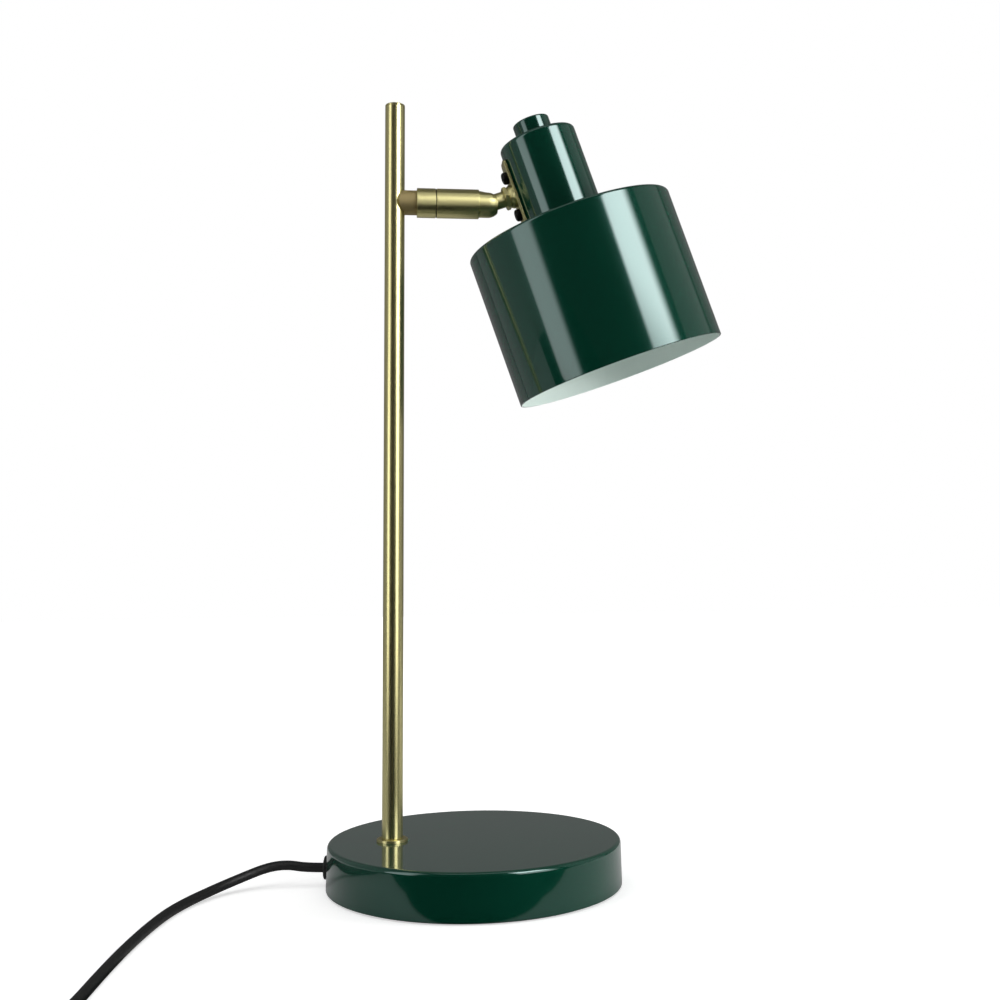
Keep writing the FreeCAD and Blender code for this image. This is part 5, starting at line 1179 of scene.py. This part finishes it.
class DESKLAMP_OT_plug(bpy.types.Operator):
    """Add the flat two-pin plug with its ribbed strain relief"""
    bl_idname = "desklamp.plug"
    bl_label = "Plug"

    def execute(self, context):
        sizes = context.scene.lamp_plug
        place = Matrix.Translation(PLUG_TAIL * MM)
        rear, front = sizes.relief, sizes.relief + sizes.length
        side, half = sizes.width / 2, sizes.thickness / 2
        outline = cut_corners([
            (front, -side), (front, side), (rear + 20 * MM, side), (rear, 7 * MM), (rear, -7 * MM),
            (rear + 20 * MM, -side)], 2.6 * MM, 6)
        body = lofted("plug_shell", domed_edge(outline, 2.5 * MM, -half, half, 7),
                      finishes("polycarbonate_moulded_black"), place)
        dress(body, "base", "black_plastic", "plug_body")
        outline = [(2.72 * MM, 0.0, 0), (3.2 * MM, 0.0, 0)]
        ribs = 8
        for k in range(ribs * 8 + 1):
            share = k / (ribs * 8)
            z = 0.3 * MM + share * (rear + 1.2 * MM)
            r = (3.5 + 1.7 * share) * MM
            wave = 0.5 + 0.5 * math.cos(2 * math.pi * share * ribs)
            outline.append((r - 0.55 * MM * (1 - wave) ** 0.6, z, 0))
        outline.append((2.72 * MM, rear + 1.5 * MM, 0))
        relief = turned("plug_relief", outline, finishes("polycarbonate_moulded_black"),
                        place @ Matrix.Rotation(math.pi / 2, 4, "Y"), True, 64)
        dress(relief, "base", "black_plastic", "plug_body")
        for y, word in ((-sizes.pin_spacing / 2, "near"), (sizes.pin_spacing / 2, "far")):
            pin_place = place @ Matrix.Translation((0, y, 0)) @ Matrix.Rotation(math.pi / 2, 4, "Y")
            shoulder, tip = front + sizes.pin_sleeve, front + sizes.pin_length
            outline = rounded([
                (0, front - 4.0 * MM, 0, 0), (sizes.sleeve_radius, front - 4.0 * MM, 0, 0),
                (sizes.sleeve_radius, shoulder, 0.15 * MM, 0), (0, shoulder, 0, 0)], False, 3)
            sleeve = turned("pin_sleeve_" + word, outline, finishes("polycarbonate_moulded_black"),
                            pin_place, False, 40)
            dress(sleeve, "base", "black_plastic", "plug_body")
            outline = rounded([
                (0, shoulder, 0, 0), (sizes.pin_radius, shoulder, 0.2 * MM, 0),
                (sizes.pin_radius, tip, 1.2 * MM, 0), (0, tip, 0, 0)], False, 7)
            pin = turned("plug_pin_" + word, outline, finishes("brass_nickel_plated"), pin_place, False, 40)
            dress(pin, "base", "nickel", "plug_pins")
        return {"FINISHED"}


# Pieces kept as the frame has them
KEPT = {
    "brass_bar_turned_lengthwise": "socket_nose ball_stem swivel_stop_pin",
    "brass_bar_browned": "saddle_spacer",
    "brass_pressed_bare": "switch_terminals",
    "iron_sand_cast": "base_weight",
    "steel_zinc_plated": "base_plate plate_screws pole_insert pole_nipple pole_washer pole_nut arm_nipple "
                         "swivel_washer swivel_nut ball_spring spring_ring stem_inner_nut bracket_backing "
                         "head_nipple head_nut gland_nut",
    "steel_black_oxide": "switch_screws",
    "polycarbonate_moulded_black": "lampholder_cap switch_lower switch_rocker",
    "nylon_moulded_grey": "ball_seat cord_clamp terminal_block",
    "silicone_sleeve_extruded": "pole_wires arm_wires stem_wires head_wires",
    "pvc_lead_extruded": "lead_inner",
}


class DESKLAMP_OT_kept(bpy.types.Operator):
    """Give the pieces that keep the frame's shape their finishes"""
    bl_idname = "desklamp.kept"
    bl_label = "Kept pieces"

    def execute(self, context):
        for finish, names in KEPT.items():
            for name in names.split():
                mesh = NODES[name].data
                mesh.materials.clear()
                mesh.materials.append(finishes(finish)[0])
        return {"FINISHED"}


class DESKLAMP_PT_panel(bpy.types.Panel):
    bl_label = "Desk lamp"
    bl_idname = "DESKLAMP_PT_panel"
    bl_space_type = "VIEW_3D"
    bl_region_type = "UI"
    bl_category = "Desk lamp"

    def draw(self, context):
        for operator in OPERATORS:
            self.layout.operator(operator.bl_idname)
        for name in GROUPS:
            box = self.layout.box()
            box.label(text=name.replace("_", " ").capitalize())
            group = getattr(context.scene, name)
            for field in group.bl_rna.properties:
                if field.identifier not in ("rna_type", "name"):
                    box.prop(group, field.identifier)


OPERATORS = (DESKLAMP_OT_stage, DESKLAMP_OT_lead, DESKLAMP_OT_gland, DESKLAMP_OT_strap, DESKLAMP_OT_foot,
             DESKLAMP_OT_upright, DESKLAMP_OT_arm, DESKLAMP_OT_stem, DESKLAMP_OT_head, DESKLAMP_OT_plate,
             DESKLAMP_OT_socket, DESKLAMP_OT_switch, DESKLAMP_OT_plug, DESKLAMP_OT_kept)
GROUPS = {"lamp_foot": LampFootSizes, "lamp_upright": LampUprightSizes, "lamp_arm": LampArmSizes,
          "lamp_stem": LampStemSizes, "lamp_head": LampHeadSizes, "lamp_socket": LampSocketSizes,
          "lamp_lead": LampLeadSizes, "lamp_switch": LampSwitchSizes, "lamp_plug": LampPlugSizes,
          "lamp_colours": LampColours, "lamp_stage": LampStageSettings}


def register():
    for cls in (*GROUPS.values(), *OPERATORS, DESKLAMP_PT_panel):
        bpy.utils.register_class(cls)
    for name, group in GROUPS.items():
        setattr(bpy.types.Scene, name, PointerProperty(type=group))


def unregister():
    for name in GROUPS:
        delattr(bpy.types.Scene, name)
    for cls in (DESKLAMP_PT_panel, *reversed(OPERATORS), *reversed(GROUPS.values())):
        bpy.utils.unregister_class(cls)


def main():
    register()
    for operator in OPERATORS:
        getattr(bpy.ops.desklamp, operator.bl_idname.split(".")[1])()
    on_lead = [bpy.data.objects[name] for name in (
        "switch_shell_upper", "plug_shell", "plug_relief", "pin_sleeve_near", "pin_sleeve_far",
        "plug_pin_near", "plug_pin_far", "coil_strap")]
    on_lead += [NODES[name] for name in ("switch_lower", "switch_rocker", "switch_screws",
                                         "switch_terminals")]


if __name__ == "__main__":
    main()
